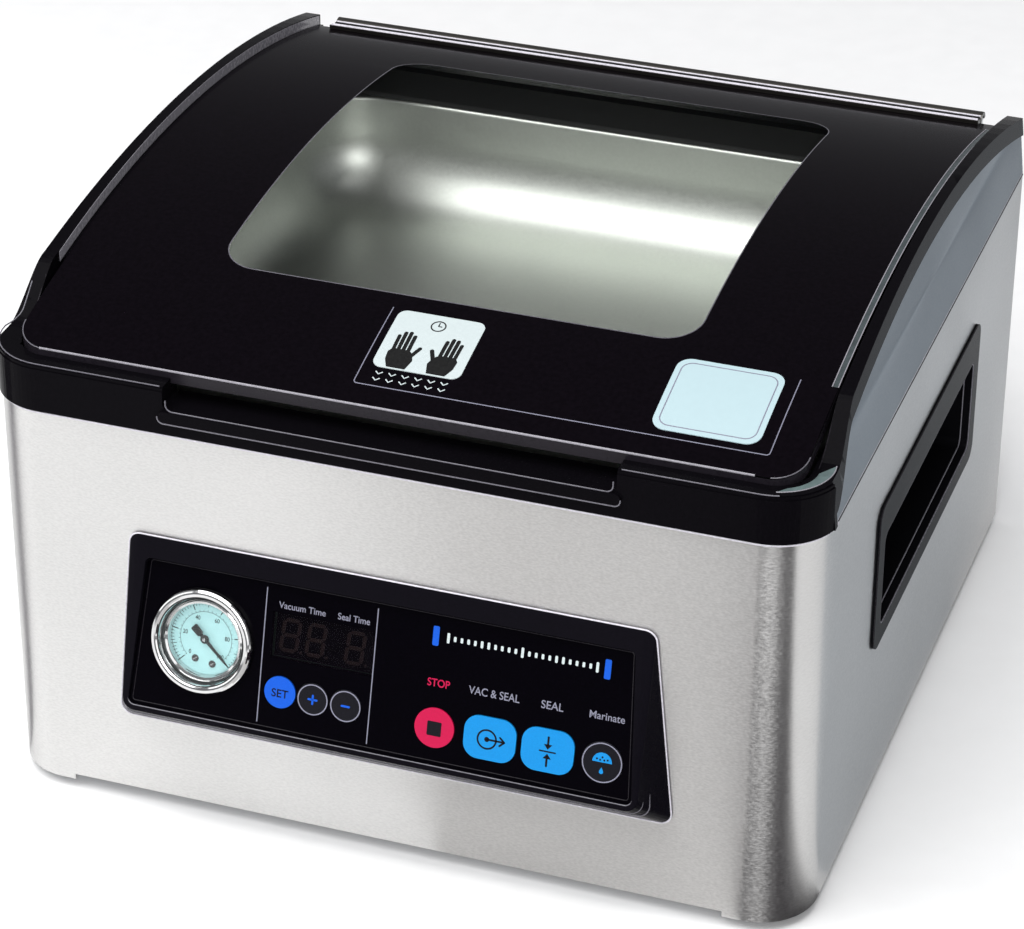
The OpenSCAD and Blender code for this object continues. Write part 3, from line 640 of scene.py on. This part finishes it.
def on_back(x0, z0, out):
    """On the rear panel, seen from behind."""

    def place(p):
        return Vector((x0 - p.x, Y_BACK + out + p.z, z0 + p.y)) * MM

    return place


def plainly(p):
    return p * MM


def leaned(side):
    """Tips a point on the right side's cheek about the seam line, or mirrors it to the left."""

    def place(p):
        dx, dz = p.x - HALF_W, p.z - SEAM_Z
        x = HALF_W + dx * math.cos(CHEEK_LEAN) - dz * math.sin(CHEEK_LEAN)
        z = SEAM_Z + dx * math.sin(CHEEK_LEAN) + dz * math.cos(CHEEK_LEAN)
        return Vector((side * x, p.y, z)) * MM

    return place


def piece(name, body, slot, parts, finish=None, smooth=True, stands_for=()):
    """One object from (mesh, place) parts, in the finish of its slot."""
    bm = bmesh.new()
    for mesh, place in parts:
        before = set(bm.verts)
        bm.from_mesh(mesh)
        for v in bm.verts:
            if v not in before:
                v.co = place(v.co)
        bpy.data.meshes.remove(mesh)
    bmesh.ops.remove_doubles(bm, verts=bm.verts, dist=2e-7)
    bmesh.ops.recalc_face_normals(bm, faces=bm.faces)
    for f in bm.faces:
        f.smooth = smooth
    made = mesh_of_faces(bm, name)
    made.materials.append(FINISH[finish or slot])
    if smooth:
        made.set_sharp_from_angle(angle=math.radians(35))
    obj = add_object(name, made)
    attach(obj, body)
    if stands_for:
        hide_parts(*stands_for)


def key_place(node):
    """The centre of a key's face: x, u and out on the panel."""
    low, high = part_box(node)
    middle = (Vector(low) + Vector(high)) / 2 / MM
    u = (middle.y - PANEL_Y) * math.sin(TILT) + (middle.z - PANEL_Z) * math.cos(TILT)
    return middle.x, u, KEY_FACE


# ---- Console ----


def add_panel_print():
    """Dividing lines, function words and a plain scale of marks between two blue bars."""
    lines = [
        (stroke(split_path([(x, -30), (x, 29)], 20), 0.45, INK), on_panel()) for x in (-53.3, -4.2)
    ]
    piece("panel_lines", "case", "label_white", lines, finish="print_grey")
    captions = []
    for text, x, u, size, wide in (
        ("Vacuum Time", -37.2, PANEL_WORD_U, 2.9, 0.93),
        ("Seal Time", -14.4, PANEL_WORD_U, 2.9, 0.91),
        ("VAC & SEAL", 48.8, CAPTION_U, 3.5, 0.86),
        ("SEAL", 73.8, CAPTION_U, 3.5, 0.95),
        ("Marinate", 97.2, CAPTION_U, 3.3, 0.95),
    ):
        captions.append((words(text, size, INK, wide, 0.035), on_panel(x, u)))
    piece("panel_words", "case", "label_white", captions, finish="print_grey", smooth=False)
    stop = [(words("STOP", 3.4, INK, 0.88, 0.06), on_panel(24.6, CAPTION_U))]
    piece("stop_word", "case", "key_red", stop, smooth=False)
    bars = [
        (filled([rounded(0, 0, 2.7, 8.4, 0.6)], INK), on_panel(x, BAR_U)) for x in (21.6, 95.4)
    ]
    piece("blue_bars", "case", "key_blue", bars, smooth=False)
    scale = []
    first, last, marks, long_every = 27.0, 91.0, 23, 11
    for i in range(marks):
        tall = 4.4 if i % long_every == 0 else 3.0 if i % long_every in (5, 6) else 2.2
        x = first + i * (last - first) / (marks - 1)
        scale.append((filled([rounded(0, 0, 1.15, tall, 0.4, 3)], INK), on_panel(x, BAR_U)))
    piece("level_scale", "case", "label_white", scale, smooth=False)


def add_key_marks():
    """The signs on the keys, and the thin rings round three of them."""

    def flat(*loops):
        return filled(list(loops), INK)

    x, u, out = key_place("key_set")
    set_word = [(words("SET", 3.6, INK, 0.98, 0.05), on_panel(x, u, out))]
    piece("set_word", "set_key", "key_black", set_word, smooth=False)
    for node, body, lines in (
        ("key_plus", "plus_key", [bar(-1.8, 0, 1.8, 0, 0.9), bar(0, -1.8, 0, 1.8, 0.9)]),
        ("key_minus", "minus_key", [bar(-1.6, 0, 1.6, 0, 0.9)]),
    ):
        at = on_panel(*key_place(node))
        piece(body + "_mark", body, "key_blue", [(flat(line), at) for line in lines], smooth=False)
        piece(body + "_ring", body, "label_white", [(flat(*ring(0, 0, 6.45, 0.5)), at)],
              finish="print_grey", smooth=False)
    square = [(flat(rounded(0, 0, 6.2, 6.2, 0.5)), on_panel(*key_place("key_stop")))]
    piece("stop_square", "stop_key", "key_black", square, smooth=False)
    at = on_panel(*key_place("key_vac_seal"))
    arrow = [
        (flat(*ring(-1.2, 0, 4.0, 0.75)), at),
        (flat(bar(-1.2, 0, 6.2, 0, 0.8)), at),
        (flat(bar(6.4, 0, 4.4, 1.8, 0.8)), at),
        (flat(bar(6.4, 0, 4.4, -1.8, 0.8)), at),
        (flat(circle(-1.2, 0, 1.1, 20)), at),
    ]
    piece("vac_seal_mark", "vac_seal_key", "key_black", arrow, smooth=False)
    at = on_panel(*key_place("key_seal"))
    press = [(flat(bar(-3.4, 0, 3.4, 0, 0.6)), at)]
    for s in (-1, 1):
        press.append((flat(bar(0, s * 6.2, 0, s * 2.2, 0.9)), at))
        head = [(0, s * 0.9), (-1.8, s * 3.1), (1.8, s * 3.1)]
        press.append((flat(head), at))
    piece("seal_mark", "seal_key", "key_black", press, smooth=False)
    x, u, out = key_place("key_marinate")
    at = on_panel(x, u, out)
    bowl = arc(0, 0.2, 4.2, 0, 180, 24)
    drop = arc(0, -3.9, 0.9, -210, 30, 12) + [(0, -1.9)]
    piece("marinate_mark", "marinate_key", "key_blue", [(flat(bowl), at), (flat(drop), at)],
          finish="key_sky", smooth=False)
    spots = [(flat(circle(a, b, 0.42, 12)), on_panel(x, u, out + INK))
             for a, b in ((-2.3, 1.5), (0, 2.4), (2.3, 1.5), (-0.9, 1.2), (0.9, 1.2))]
    piece("marinate_spots", "marinate_key", "key_black", spots, smooth=False)
    piece("marinate_ring", "marinate_key", "label_white", [(flat(*ring(0, 0, 8.3, 0.5)), at)],
          finish="print_grey", smooth=False)


def segment_bar(x0, y0, x1, y1, w):
    """A six-sided bar of a digit, pointed at both ends."""
    along = Vector((x1 - x0, y1 - y0)).normalized()
    side = Vector((-along.y, along.x)) * w / 2
    tip = along * w / 2
    a, b = Vector((x0, y0)), Vector((x1, y1))
    corners = (a, a + tip + side, b - tip + side, b, b - tip - side, a + tip - side)
    return [tuple(c) for c in corners]


def add_digits():
    """Three slanted unlit digits, each with its point."""
    w, h, stroke_w, gap, slant, point_r = 6.9, 13.2, 1.5, 0.25, 0.09, 0.6
    parts = []
    for x in (-42.4, -31.0, -13.6):
        at = on_panel(x, DIGITS_U, DIGIT_DEPTH)
        bars = [
            segment_bar(gap - w / 2, z, w / 2 - gap, z, stroke_w) for z in (-h / 2, 0, h / 2)
        ]
        for side in (-w / 2, w / 2):
            for z in (-h / 2, 0):
                bars.append(segment_bar(side, z + gap, side, z + h / 2 - gap, stroke_w))
        lean = [[(a + b * slant, b) for a, b in loop] for loop in bars]
        parts += [(filled([loop], DIGIT_THICK), at) for loop in lean]
        point = circle(w / 2 + 1.6, -h / 2, point_r, 14)
        parts.append((filled([point], DIGIT_THICK), at))
    piece("digit_segments", "case", "segment", parts, smooth=False, stands_for=("display_digits",))


def add_gauge():
    """The dial's print and screws, the needle, the inner ring and painted shade in the outer ring's
    groove.
    """
    sweep_from, sweep_to = 225.0, -45.0
    on_dial = on_panel(*GAUGE, DIAL_FACE)

    def turn_of(share):
        return math.radians(sweep_from + (sweep_to - sweep_from) * share)

    def tick(turn, r0, r1, wide):
        ends = [(r * math.cos(turn), r * math.sin(turn)) for r in (r0, r1)]
        return filled([bar(*ends[0], *ends[1], wide)], DIAL_INK), on_dial

    parts = []
    ticks, inner_ticks, numbers = 50, 30, ("0", "20", "40", "60", "80", "100")
    for i in range(ticks + 1):
        long = 2.6 if i % 10 == 0 else 1.9 if i % 5 == 0 else 1.1
        wide = 0.42 if i % 10 == 0 else 0.24
        parts.append(tick(turn_of(i / ticks), TICK_R - long, TICK_R, wide))
    for r, wide in ((TICK_R, 0.28), (INNER_R, 0.16)):
        parts.append((stroke(arc(0, 0, r, sweep_from, sweep_to, 72), wide, DIAL_INK), on_dial))
    for i in range(inner_ticks + 1):
        parts.append(tick(turn_of(i / inner_ticks), INNER_R, INNER_R + 0.7, 0.16))
    for i, text in enumerate(numbers):
        a = turn_of(i / (len(numbers) - 1))
        at = on_panel(GAUGE[0] + 9.6 * math.cos(a), GAUGE[1] + 9.6 * math.sin(a), DIAL_FACE)
        parts.append((words(text, 1.9, DIAL_INK, 0.85, 0.03), at))
    piece("dial_print", "case", "gauge_body", parts, finish="needle_black", smooth=False)
    screws, slots = [], []
    head = [(0, 0.75), (0.9, 0.72), (1.45, 0.45), (1.6, 0.1), (1.6, 0)]
    for dx, du in ((-4.2, -9.4), (3.6, -10.6)):
        x, u = GAUGE[0] + dx, GAUGE[1] + du
        slot = filled([bar(-0.9, 0, 0.9, 0, 0.35)], 0.06)
        screws.append((spun(head, 24), on_panel(x, u, DIAL_FACE)))
        slots.append((slot, on_panel(x, u, DIAL_FACE + 0.72, 35)))
    piece("dial_screws", "case", "gauge_body", screws)
    piece("dial_screw_slots", "case", "screw_metal", slots, smooth=False)
    rest_turn = -42
    edge = [(15.2, 0.12), (12, 0.5), (0, 0.75), (-2.4, 0.8), (-2.9, 1.5), (-7.0, 1.7), (-7.4, 1.2)]
    pointer = edge + [(x, -y) for x, y in edge[::-1]]
    hub = [(0, 1.35), (0.9, 1.3), (1.5, 1.0), (1.9, 0.5), (1.9, 0)]
    needle = [
        (filled([pointer], 0.55, 0.1), on_panel(*GAUGE, -2.0, rest_turn)),
        (spun(hub, 32), on_panel(*GAUGE, -1.8)),
    ]
    piece("needle_pointer", "needle", "needle_black", needle, stands_for=("gauge_needle",))
    inner = [(15.5, -2.9), (15.5, -0.4), (16.1, 0.5), (17.0, 0.8), (17.7, 0.5), (18.0, -0.4),
             (18.0, -2.9), (15.5, -2.9)]
    piece("gauge_inner_ring", "case", "chrome", [(spun(inner, 72), on_panel(*GAUGE))])
    # A black line in the groove of the outer ring is painted shade.
    groove = [(*p, 0) for p in circle(0, 0, 19.3, 64)]
    piece("gauge_groove_shade", "case", "chrome", [(wire(groove, 0.25, True), on_panel(*GAUGE, 3.2))],
          finish="needle_black")
    cap = [(0, 0.3), (0.55, 0.26), (0.75, 0)]
    piece("needle_cap", "needle", "screw_metal", [(spun(cap, 24), on_panel(*GAUGE, -0.5))])


# ---- Chamber ----


def basin_loop(grow, z):
    """A level outline of the basin, grown outwards from its walls."""
    half, y0, y1 = BASIN_HALF + grow, BASIN_FRONT - grow, BASIN_BACK + grow
    back, front = max(38 + grow, 1), max(24 + grow, 1)
    outline = arc(half - back, y1 - back, back, 0, 90)
    outline += arc(back - half, y1 - back, back, 90, 180)
    outline += arc(front - half, y0 + front, front, 180, 270)
    outline += arc(half - front, y0 + front, front, 270, 360)
    return [(x, y, z) for x, y in outline]


def add_basin():
    """The drawn chamber with wide blends, in place of the plainer CAD tub."""
    flange, lip, blend = 11.0, 2.0, 30.0

    def section(skin):
        """(growth, height) points from the flange to the floor, one skin below the surface."""
        made = [(flange, BASIN_RIM - skin)]
        made += arc(lip, BASIN_RIM - lip, lip - skin, 90, 180, 5)
        return made + arc(-blend, BASIN_FLOOR + blend, blend + skin, 0, -90, 12)

    rows = [basin_loop(grow, z) for grow, z in section(0)[::-1] + section(BASIN_SKIN)]
    low, high = 150, 190
    holes = []
    for side in (-1, 1):
        hole = spun([(0, low), (POST_HOLE, low), (POST_HOLE, high), (0, high)], 32)
        hole.transform(Matrix.Translation((side * POST_X, POST_Y, 0)))
        holes.append(hole)
    basin = carved(lofted(rows), holes)
    piece("chamber_basin", "case", "tub_steel", [(basin, plainly)], stands_for=("chamber_tub",))


# ---- Lid ----


def add_lid_print():
    """The border, the lines of the film, the signs of the label and the badge's inset line."""
    film_top, film = ARCH_R + 0.03, 0.03
    half, front, back = PANE_HALF - 0.1, PANE_FRONT + 0.1, PANE_BACK - 0.1
    border = [(half, back), (-half, back)]
    border += arc(PANE_CORNER - half, front + PANE_CORNER, PANE_CORNER, 180, 270, 10)
    border += arc(half - PANE_CORNER, front + PANE_CORNER, PANE_CORNER, 270, 360, 10)
    hole = rounded(0, 17.05, 209, 222.5, 16, 10)
    printed = sliced(filled([border, hole], film), 4)
    piece("border_print", "lid", "pane_print", [(printed, on_arch())], stands_for=("lid_mask",))
    outline = [(-21.8, -103.0)] + arc(-20.3, -148.0, 1.5, 180, 270, 6)
    outline += arc(151.0, -148.0, 1.5, 270, 360, 6) + [(152.5, -105.0)]
    line = stroke(split_path(outline, 6), 0.45, INK)
    piece("film_outline", "lid", "label_white", [(line, on_arch(film_top))], finish="print_grey")
    window = stroke(split_path(hole + hole[:1], 4)[:-1], 0.45, INK, closed=True)
    piece("window_outline", "lid", "label_white", [(window, on_arch(film_top))], finish="edge_dim")
    add_label_signs()
    arrows = []
    rows, columns = 2, 6
    for row in range(rows):
        for i in range(columns):
            x, y = -13.5 + i * 5.6, -142.2 - row * 3.6
            chevron = [(x - 1.5, y + 0.8), (x, y - 0.6), (x + 1.5, y + 0.8)]
            arrows.append((stroke(chevron, 0.55, INK), on_arch(film_top)))
    piece("press_arrows", "lid", "label_white", arrows)
    rim = rounded(124.5, -125, 40, 37, 4.5, 6)
    inset = stroke(split_path(rim + rim[:1], 6)[:-1], 0.5, INK, closed=True)
    piece("badge_line", "lid", "badge_blue", [(inset, on_arch(LABEL_TOP))], finish="print_grey")


def add_label_signs():
    """Two generic hands under a clock face."""
    middle, clock_y, clock_r = 0.7, -110.6, 3.0
    loops = []
    for s in (-1, 1):
        palm = [(4.6, -138.4), (3.2, -133.0), (4.4, -129.5), (6.4, -127.4), (13.6, -127.4),
                (15.0, -129.6), (14.6, -134.0), (12.6, -138.4)]
        loops.append([[(middle + s * x, y) for x, y in palm]])
        for x, y, w in (
            (7.0, -119.0, 1.7), (9.2, -117.2, 1.7), (11.4, -117.6, 1.7), (13.5, -119.8, 1.6),
        ):
            loops.append([bar(middle + s * (x * 0.98), -128.4, middle + s * x, y, w)])
        loops.append([bar(middle + s * 5.2, -131.5, middle + s * 2.6, -125.4, 1.8)])
    loops.append(ring(middle, clock_y, clock_r, 0.6, 32))
    for x, y in ((middle, clock_y + 2), (2.1, clock_y)):
        loops.append([bar(middle, clock_y, x, y, 0.5)])
    signs = [(filled(loop, INK), on_arch(LABEL_TOP)) for loop in loops]
    piece("press_sign", "lid", "label_white", signs, finish="needle_black", smooth=False)


# ---- Case trim ----


def front_path(half, y0, y1, r):
    """Open path from the rear left round the front to the rear right."""
    left, right = arc(-half + r, y0 + r, r, 180, 270), arc(half - r, y0 + r, r, 270, 360)
    return [(-half, y1)] + left + right + [(half, y1)]


def add_pane_edges():
    """Painted highlights on the pane's front edge, dark below it, and a painted reflection as a
    grey right margin.
    """
    crest = pane_top(PANE_FRONT)
    # A pale line along the pane's front edge is a painted highlight.
    front = [(x, PANE_FRONT + 0.1, crest) for x in (-156, -80, 0, 80, 150)]
    piece("pane_edge_front", "lid", "pane", [(wire(front, 0.5), plainly)], finish="highlight_mid")
    # Dim lines round the pane's front corners are painted highlights.
    corners = []
    for side, turn in ((-1, (180, 262)), (1, (278, 360))):
        middle = (side * (PANE_HALF - PANE_CORNER), PANE_FRONT + PANE_CORNER)
        path = [(x, y, pane_top(y)) for x, y in arc(*middle, PANE_CORNER, *turn, 10)]
        corners.append((wire(path, 0.25), plainly))
    piece("pane_edge_corners", "lid", "pane", corners, finish="edge_dim")
    rows = []
    side_end, proud, upper, lower = -100, 0.12, 0.6, 5.4
    inside = front_path(PANE_HALF, PANE_FRONT, side_end, PANE_CORNER)
    outside = front_path(PANE_HALF + proud, PANE_FRONT - proud, side_end, PANE_CORNER + proud)
    for (x0, y0), (x1, y1) in zip(inside, outside):
        z = pane_top(y0)
        rows.append(
            [(x0, y0, z - lower), (x0, y0, z - upper), (x1, y1, z - upper), (x1, y1, z - lower)]
        )
    piece("pane_edge_band", "lid", "pane_print", [(lofted(rows), plainly)], finish="edge_dark")
    # A grey margin along the pane's right edge is a painted reflection, and the two lines beside it
    # painted highlights.
    depths = steps(-106, 165, 40)
    left, right = 165.7, 168.3
    section = [(left, 0.02), (right, 0.02), (right, 0.08), (left, 0.08)]
    margin = [(swept(section, depths, pane_top), plainly)]
    piece("pane_margin", "lid", "pane", margin, finish="reflection_dim")
    lines = []
    for x in (165.4, 167.9):
        section = [(x, 0.05), (x + 0.5, 0.05), (x + 0.5, 0.3), (x + 0.1, 0.3)]
        lines.append((swept(section, depths, pane_top), plainly))
    piece("pane_margin_lines", "lid", "pane", lines, finish="highlight_mid")


def add_hinge_lines():
    """Painted highlights on the ridges of the hinge profile, and painted shade in its groove."""
    half = 159.5

    def across(y, z, r):
        return wire([(x, y, z) for x in (-half, 0, half)], r), plainly

    tilt = math.radians(128)
    rear = (HINGE_Y + KNUCKLE_R * math.cos(tilt), HINGE_Z + KNUCKLE_R * math.sin(tilt))
    lip_y = PANE_BACK - 3.2
    # Pale lines on the ridges are painted highlights.
    ridges = [across(*rear, 0.75), across(lip_y, arch_z(lip_y, ARCH_R + 2), 0.8)]
    piece("hinge_ridges", "lid", "aluminium", ridges, finish="highlight_pale")
    # A black strip in the groove is painted shade.
    groove = filled([[(-half, -1.9), (half, -1.9), (half, 1.9), (-half, 1.9)]], 0.2)
    top = arch_z(PANE_BACK, ARCH_R + 2.1)
    groove.transform(Matrix.Translation((0, PANE_BACK + 0.3, top - 0.1)))
    piece("hinge_groove_shade", "lid", "aluminium", [(groove, plainly)], finish="needle_black")


def add_frame_edges():
    """Painted highlights on the black frame's edges, pocket and left rail, and a painted reflection
    at a corner.
    """
    lip, outer_r, hollow = BAND_TOP - 0.1, 26.1, 4.0
    lip_y = Y_FRONT - 0.1
    middle_x, middle_y = 154, -143
    # Pale lines along the frame's front top edge and the pocket's lips are painted highlights.
    left = [(-98.5, lip_y, lip)]
    left += [(x, y, lip) for x, y in arc(-middle_x, middle_y, outer_r, 270, 180)]
    for y in steps(-140, -124, 8):
        inward = min(1.0, (y - middle_y) / 8)
        left.append((-middle_x - outer_r + hollow * inward, y, frame_top(y)))
    right = [(x, lip_y, lip) for x in (98.5, 120, 153)]
    right += [(x, y, lip) for x, y in arc(middle_x, middle_y, outer_r, 270, 288, 4)]
    edges = [(wire(left, 0.28), plainly), (wire(right, 0.28), plainly)]
    lower = [(-95.6, 205.5), (-95.6, 203.6)] + arc(-92.6, 203.6, 3, 180, 270, 6)
    lower += arc(92.6, 203.6, 3, 270, 360, 6) + [(95.6, 205.5)]
    edges.append((wire([(x, Y_FRONT - 1.7, z) for x, z in lower], 0.32), plainly))
    outer = [(-99.0, 198.4)] + arc(-96.4, 197.9, 2.6, 180, 270, 6)
    outer += arc(96.4, 197.9, 2.6, 270, 360, 6) + [(99.0, 198.4)]
    edges.append((wire([(x, Y_FRONT - 3.0, z) for x, z in outer], 0.28), plainly))
    piece("frame_edges", "case", "frame_plastic", edges, finish="edge_dim")
    depths = steps(CHEEK_FRONT + 4, Y_BACK - 1, 60)
    rims = []
    for side in (-1, 1):
        path = [(side * (RAIL_IN + 0.35), y, frame_top(y) - 0.24) for y in depths]
        rims.append((wire(path, 0.22), plainly))
    piece("rail_inner_edges", "case", "frame_plastic", rims, finish="edge_dark")
    # A teal crescent on the right front corner is a painted reflection, its edge line a painted
    # highlight.
    shine = arc(middle_x, middle_y, 23.6, 285, 368, 14)
    inside = arc(154.9, -146.6, 17.2, 360, 300)

    def lifted(p):
        return Vector((p.x, p.y, frame_top(p.y) + p.z)) * MM

    patch = [(filled([shine + inside], 0.12), lifted)]
    piece("corner_reflection", "case", "frame_plastic", patch, finish="reflection_teal")
    line = wire([(x, y, frame_top(y) + 0.1) for x, y in shine], 0.25)
    piece("corner_reflection_edge", "case", "frame_plastic", [(line, plainly)], finish="highlight_mid")
    # A mid grey strip on the inner wall of the left rail is a painted highlight.
    wall = [(-170.45, -5.0), (-170.25, -5.0), (-170.25, -0.4), (-170.45, -0.4)]
    strip = swept(wall, steps(ARCH_FRONT + 6, Y_BACK - 2, 40), frame_top)
    piece("rail_highlight_left", "case", "frame_plastic", [(strip, plainly)], finish="highlight_mid")


def add_case_trim():
    """Painted highlights along the steel wrap, cheeks, seams and handles, painted shade in the
    seams, dark handle rims.
    """

    def handle_loop(side, w, h, corner, drop, out, r):
        outline = rounded(HANDLE_Y, HANDLE_Z - drop, w, h, corner)
        return wire([(side * (HALF_W + out), y, z) for y, z in outline], r, True), plainly

    # A pale line along the top edge of the wrap is a painted highlight.
    front = front_path(HALF_W - 0.35, Y_FRONT + 0.35, Y_FRONT + CORNER_R, CORNER_R - 0.35)
    rim = [(x, y, SEAM_Z - 0.75) for x, y in front]
    piece("wrap_top_edge", "case", "wrap_steel", [(wire(rim, 0.8), plainly)], finish="highlight_pale")
    rear = Y_BACK - 0.5
    for side, name in ((1, "right"), (-1, "left")):
        # Pale lines on the cheeks' upper edges and above the seams are painted highlights; the
        # black seam line is painted shade.
        arch = [(HALF_W - 0.3, y, cheek_top(y) + 0.1) for y in steps(CHEEK_FRONT, rear, 70)]
        piece("cheek_edge_" + name, "case", "cheek_steel", [(wire(arch, 0.35), leaned(side))],
              finish="highlight_pale")
        gap = [(side * (HALF_W - 0.12), y, SEAM_Z + 0.12) for y in steps(-143, rear, 4)]
        seam = [(side * (HALF_W - 0.2), y, SEAM_Z + 0.75) for y in steps(-146, rear, 4)]
        piece("seam_shadow_" + name, "case", "cheek_steel", [(wire(gap, 0.42), plainly)],
              finish="needle_black")
        piece("seam_edge_" + name, "case", "cheek_steel", [(wire(seam, 0.22), plainly)],
              finish="highlight_pale")
        # Dim lines round the handles' mouths are painted highlights.
        mouth = [
            handle_loop(side, 161.4, 45.4, 4.8, 4, 1.15, 0.33),
            handle_loop(side, 157, 41, 4, 4, -2.2, 0.3),
        ]
        piece("handle_mouth_" + name, "case", "handle_plastic", mouth, finish="edge_dim")
        rim = [handle_loop(side, 179.6, 70.1, 6.8, 0, 1.2, 0.3)]
        piece("handle_rim_" + name, "case", "handle_plastic", rim, finish="edge_dark")


def trapezoid(top, foot, z0, z1, r):
    """Outline of a round-cornered trapezoid that is wider at its foot."""
    return (
        arc(top - r, z1 - r, r, 0, 90, 6) + arc(-top + r, z1 - r, r, 90, 180, 6)
        + arc(-foot + r, z0 + r, r, 180, 270, 6) + arc(foot - r, z0 + r, r, 270, 360, 6)
    )


def add_bezel_lines():
    """Step lines of the console's frame as painted highlights: round its foot, up its slopes and
    inside its rim.
    """
    half_h = 32.65
    foot = trapezoid(115.3, 123.3, 46.7, 139.3, 5.2)
    base = [Vector((x, Y_FRONT - 1.0, z)) for x, z in foot]

    def line(name, points, r, finish):
        loop = wire([tuple(p) for p in points], r, True)
        piece(name, "case", "console_plastic", [(loop, plainly)], finish=finish)

    def rim(name, grow, out, r, finish):
        path = trapezoid(107 + grow, 111 + grow, -half_h - grow, half_h + grow, 2.5 + grow)
        place = on_panel()
        points = [place(Vector((x, u, out))) / MM for x, u in path]
        line(name, points, r, finish)
        return points

    # The pale and dim lines are painted highlights on the frame's edges and steps; the dark one
    # rings the panel.
    line("bezel_foot_edge", base, 0.35, "highlight_pale")
    top = rim("bezel_rim_outer", 2.55, 0.95, 0.22, "edge_dim")
    rim("bezel_rim_inner", 0.55, 1.0, 0.35, "edge_dim")
    rim("panel_edge_line", -1.3, 0.05, 0.18, "edge_dark")
    for name, share, r in (("a", 0.62, 0.3), ("b", 0.82, 0.25)):
        slope = [a.lerp(b, share) - Vector((0, 0.5, 0)) for a, b in zip(base, top)]
        line("bezel_step_" + name, slope, r, "edge_dim")


def add_back_details():
    """Painted shade in the cross recesses of the rear screws, and a thin ridge on either side of
    the vents.
    """
    # Black crosses on the screw heads are painted shade that stands for their recesses.
    crosses = []
    arm, screw_turn, screw_top = 1.9, 20, 1.35
    for x in (-165, 0, 165):
        for z in (20, 180):
            for turn in (0, 90):
                a = math.radians(turn + screw_turn)
                dx, dz = arm * math.cos(a), arm * math.sin(a)
                slot = filled([bar(-dx, -dz, dx, dz, 0.8)], 0.1)
                crosses.append((slot, on_back(x, z, screw_top)))
    piece("rear_screw_crosses", "case", "screw_metal", crosses, finish="needle_black", smooth=False)
    y = Y_BACK + 0.1
    ridges = [(wire([(x, y, 66), (x, y, 164)], 0.3), plainly) for x in (-136, 130)]
    piece("rear_vent_ribs", "case", "chassis_steel", ridges)


# ---- Shading of the CAD nodes ----


def welded(name):
    obj = nodes[name]
    weld = obj.modifiers.new("weld", "WELD")
    weld.merge_threshold = 1e-6
    return obj


def soften(name, width):
    """Rounds the sharp edges of a CAD node as it is shown."""
    rounding = welded(name).modifiers.new("rounding", "BEVEL")
    rounding.width = width * MM
    rounding.segments = 2
    rounding.limit_method = "ANGLE"
    rounding.angle_limit = math.radians(40)
    rounding.harden_normals = True


def smoothed(name):
    """Shades a bent sheet without facets."""
    even = welded(name).modifiers.new("even", "WEIGHTED_NORMAL")
    even.keep_sharp = False


# ---- Scene ----


def sheet(name, corners, z, finish):
    """A flat polygon on the floor, attached to no body."""
    made = bpy.data.meshes.new(name)
    made.from_pydata([(x, y, z) for x, y in corners], [], [tuple(range(len(corners)))])
    made.materials.append(finish)
    obj = add_object(name, made)
    return obj


def flat_card(name, corners, z, tint):
    """A sheet that only reflections see, which shades the steel as a studio card does."""
    finish = finish_of(name, tint, 0.9, vary=0.05, grain=20, Specular_IOR_Level=0.0)
    card = sheet(name, corners, z, finish)
    card.visible_camera = False
    card.visible_diffuse = False
    card.visible_shadow = False
    card.visible_transmission = False


add_camera()
bpy.context.scene.view_settings.view_transform = "Standard"
add_world(0.26, (0.95, 0.96, 1.0))
add_light("overhead", (-0.3, -0.75, 2.2), (0, 0, 0.1), 2.2, 63)
add_light("left", (-2.2, -1.2, 1.2), (0, 0, 0.1), 1.4, 13, size_y=1.8)
add_light("front", (0.6, -2.6, 0.7), (0, 0, 0.1), 1.6, 8, size_y=1.0)
add_light("behind_camera", (0.82, -2.4, 1.52), (0, 0, 0.15), 1.0, 25)

sheet("floor", [(-9, -9), (9, -9), (9, 9), (-9, 9)], 0,
      finish_of("floor_paint", (0.97, 0.97, 0.97), 0.7, vary=0.01, grain=60, cloud=3))
corner_edge = [(0.150, -0.176), (-0.15, -1.35), (0.9, -1.35), (1.1, -0.89), (0.186, -0.13)]
front_edge = [(0.02, -0.172), (-0.6, -1.35), (0.3, -1.35), (0.15, -0.172)]
left_edge = [(-0.184, -0.152), (-1.4, -0.36), (-1.4, 0.10)]
side_edge = [(0.183, -0.12), (1.6, 0.54), (1.6, 2.4), (0.42, 2.4), (0.275, 0.62), (0.183, 0.10)]
flat_card("corner_card", corner_edge, 0.0015, (0.012, 0.008, 0.011))
flat_card("front_card", front_edge, 0.001, (0.56, 0.55, 0.545))
flat_card("left_card", left_edge, 0.0015, (0.08, 0.07, 0.09))
flat_card("side_card", side_edge, 0.0015, (0.58, 0.61, 0.64))

paint_nodes()
add_panel_print()
add_key_marks()
add_digits()
add_gauge()
add_basin()
add_lid_print()
add_pane_edges()
add_hinge_lines()
add_frame_edges()
add_case_trim()
add_bezel_lines()
add_back_details()
for node_name in ("top_frame", "console_bezel", "handle_cup_right", "handle_cup_left"):
    soften(node_name, 0.5)
smoothed("steel_wrap")

bpy.context.view_layer.update()
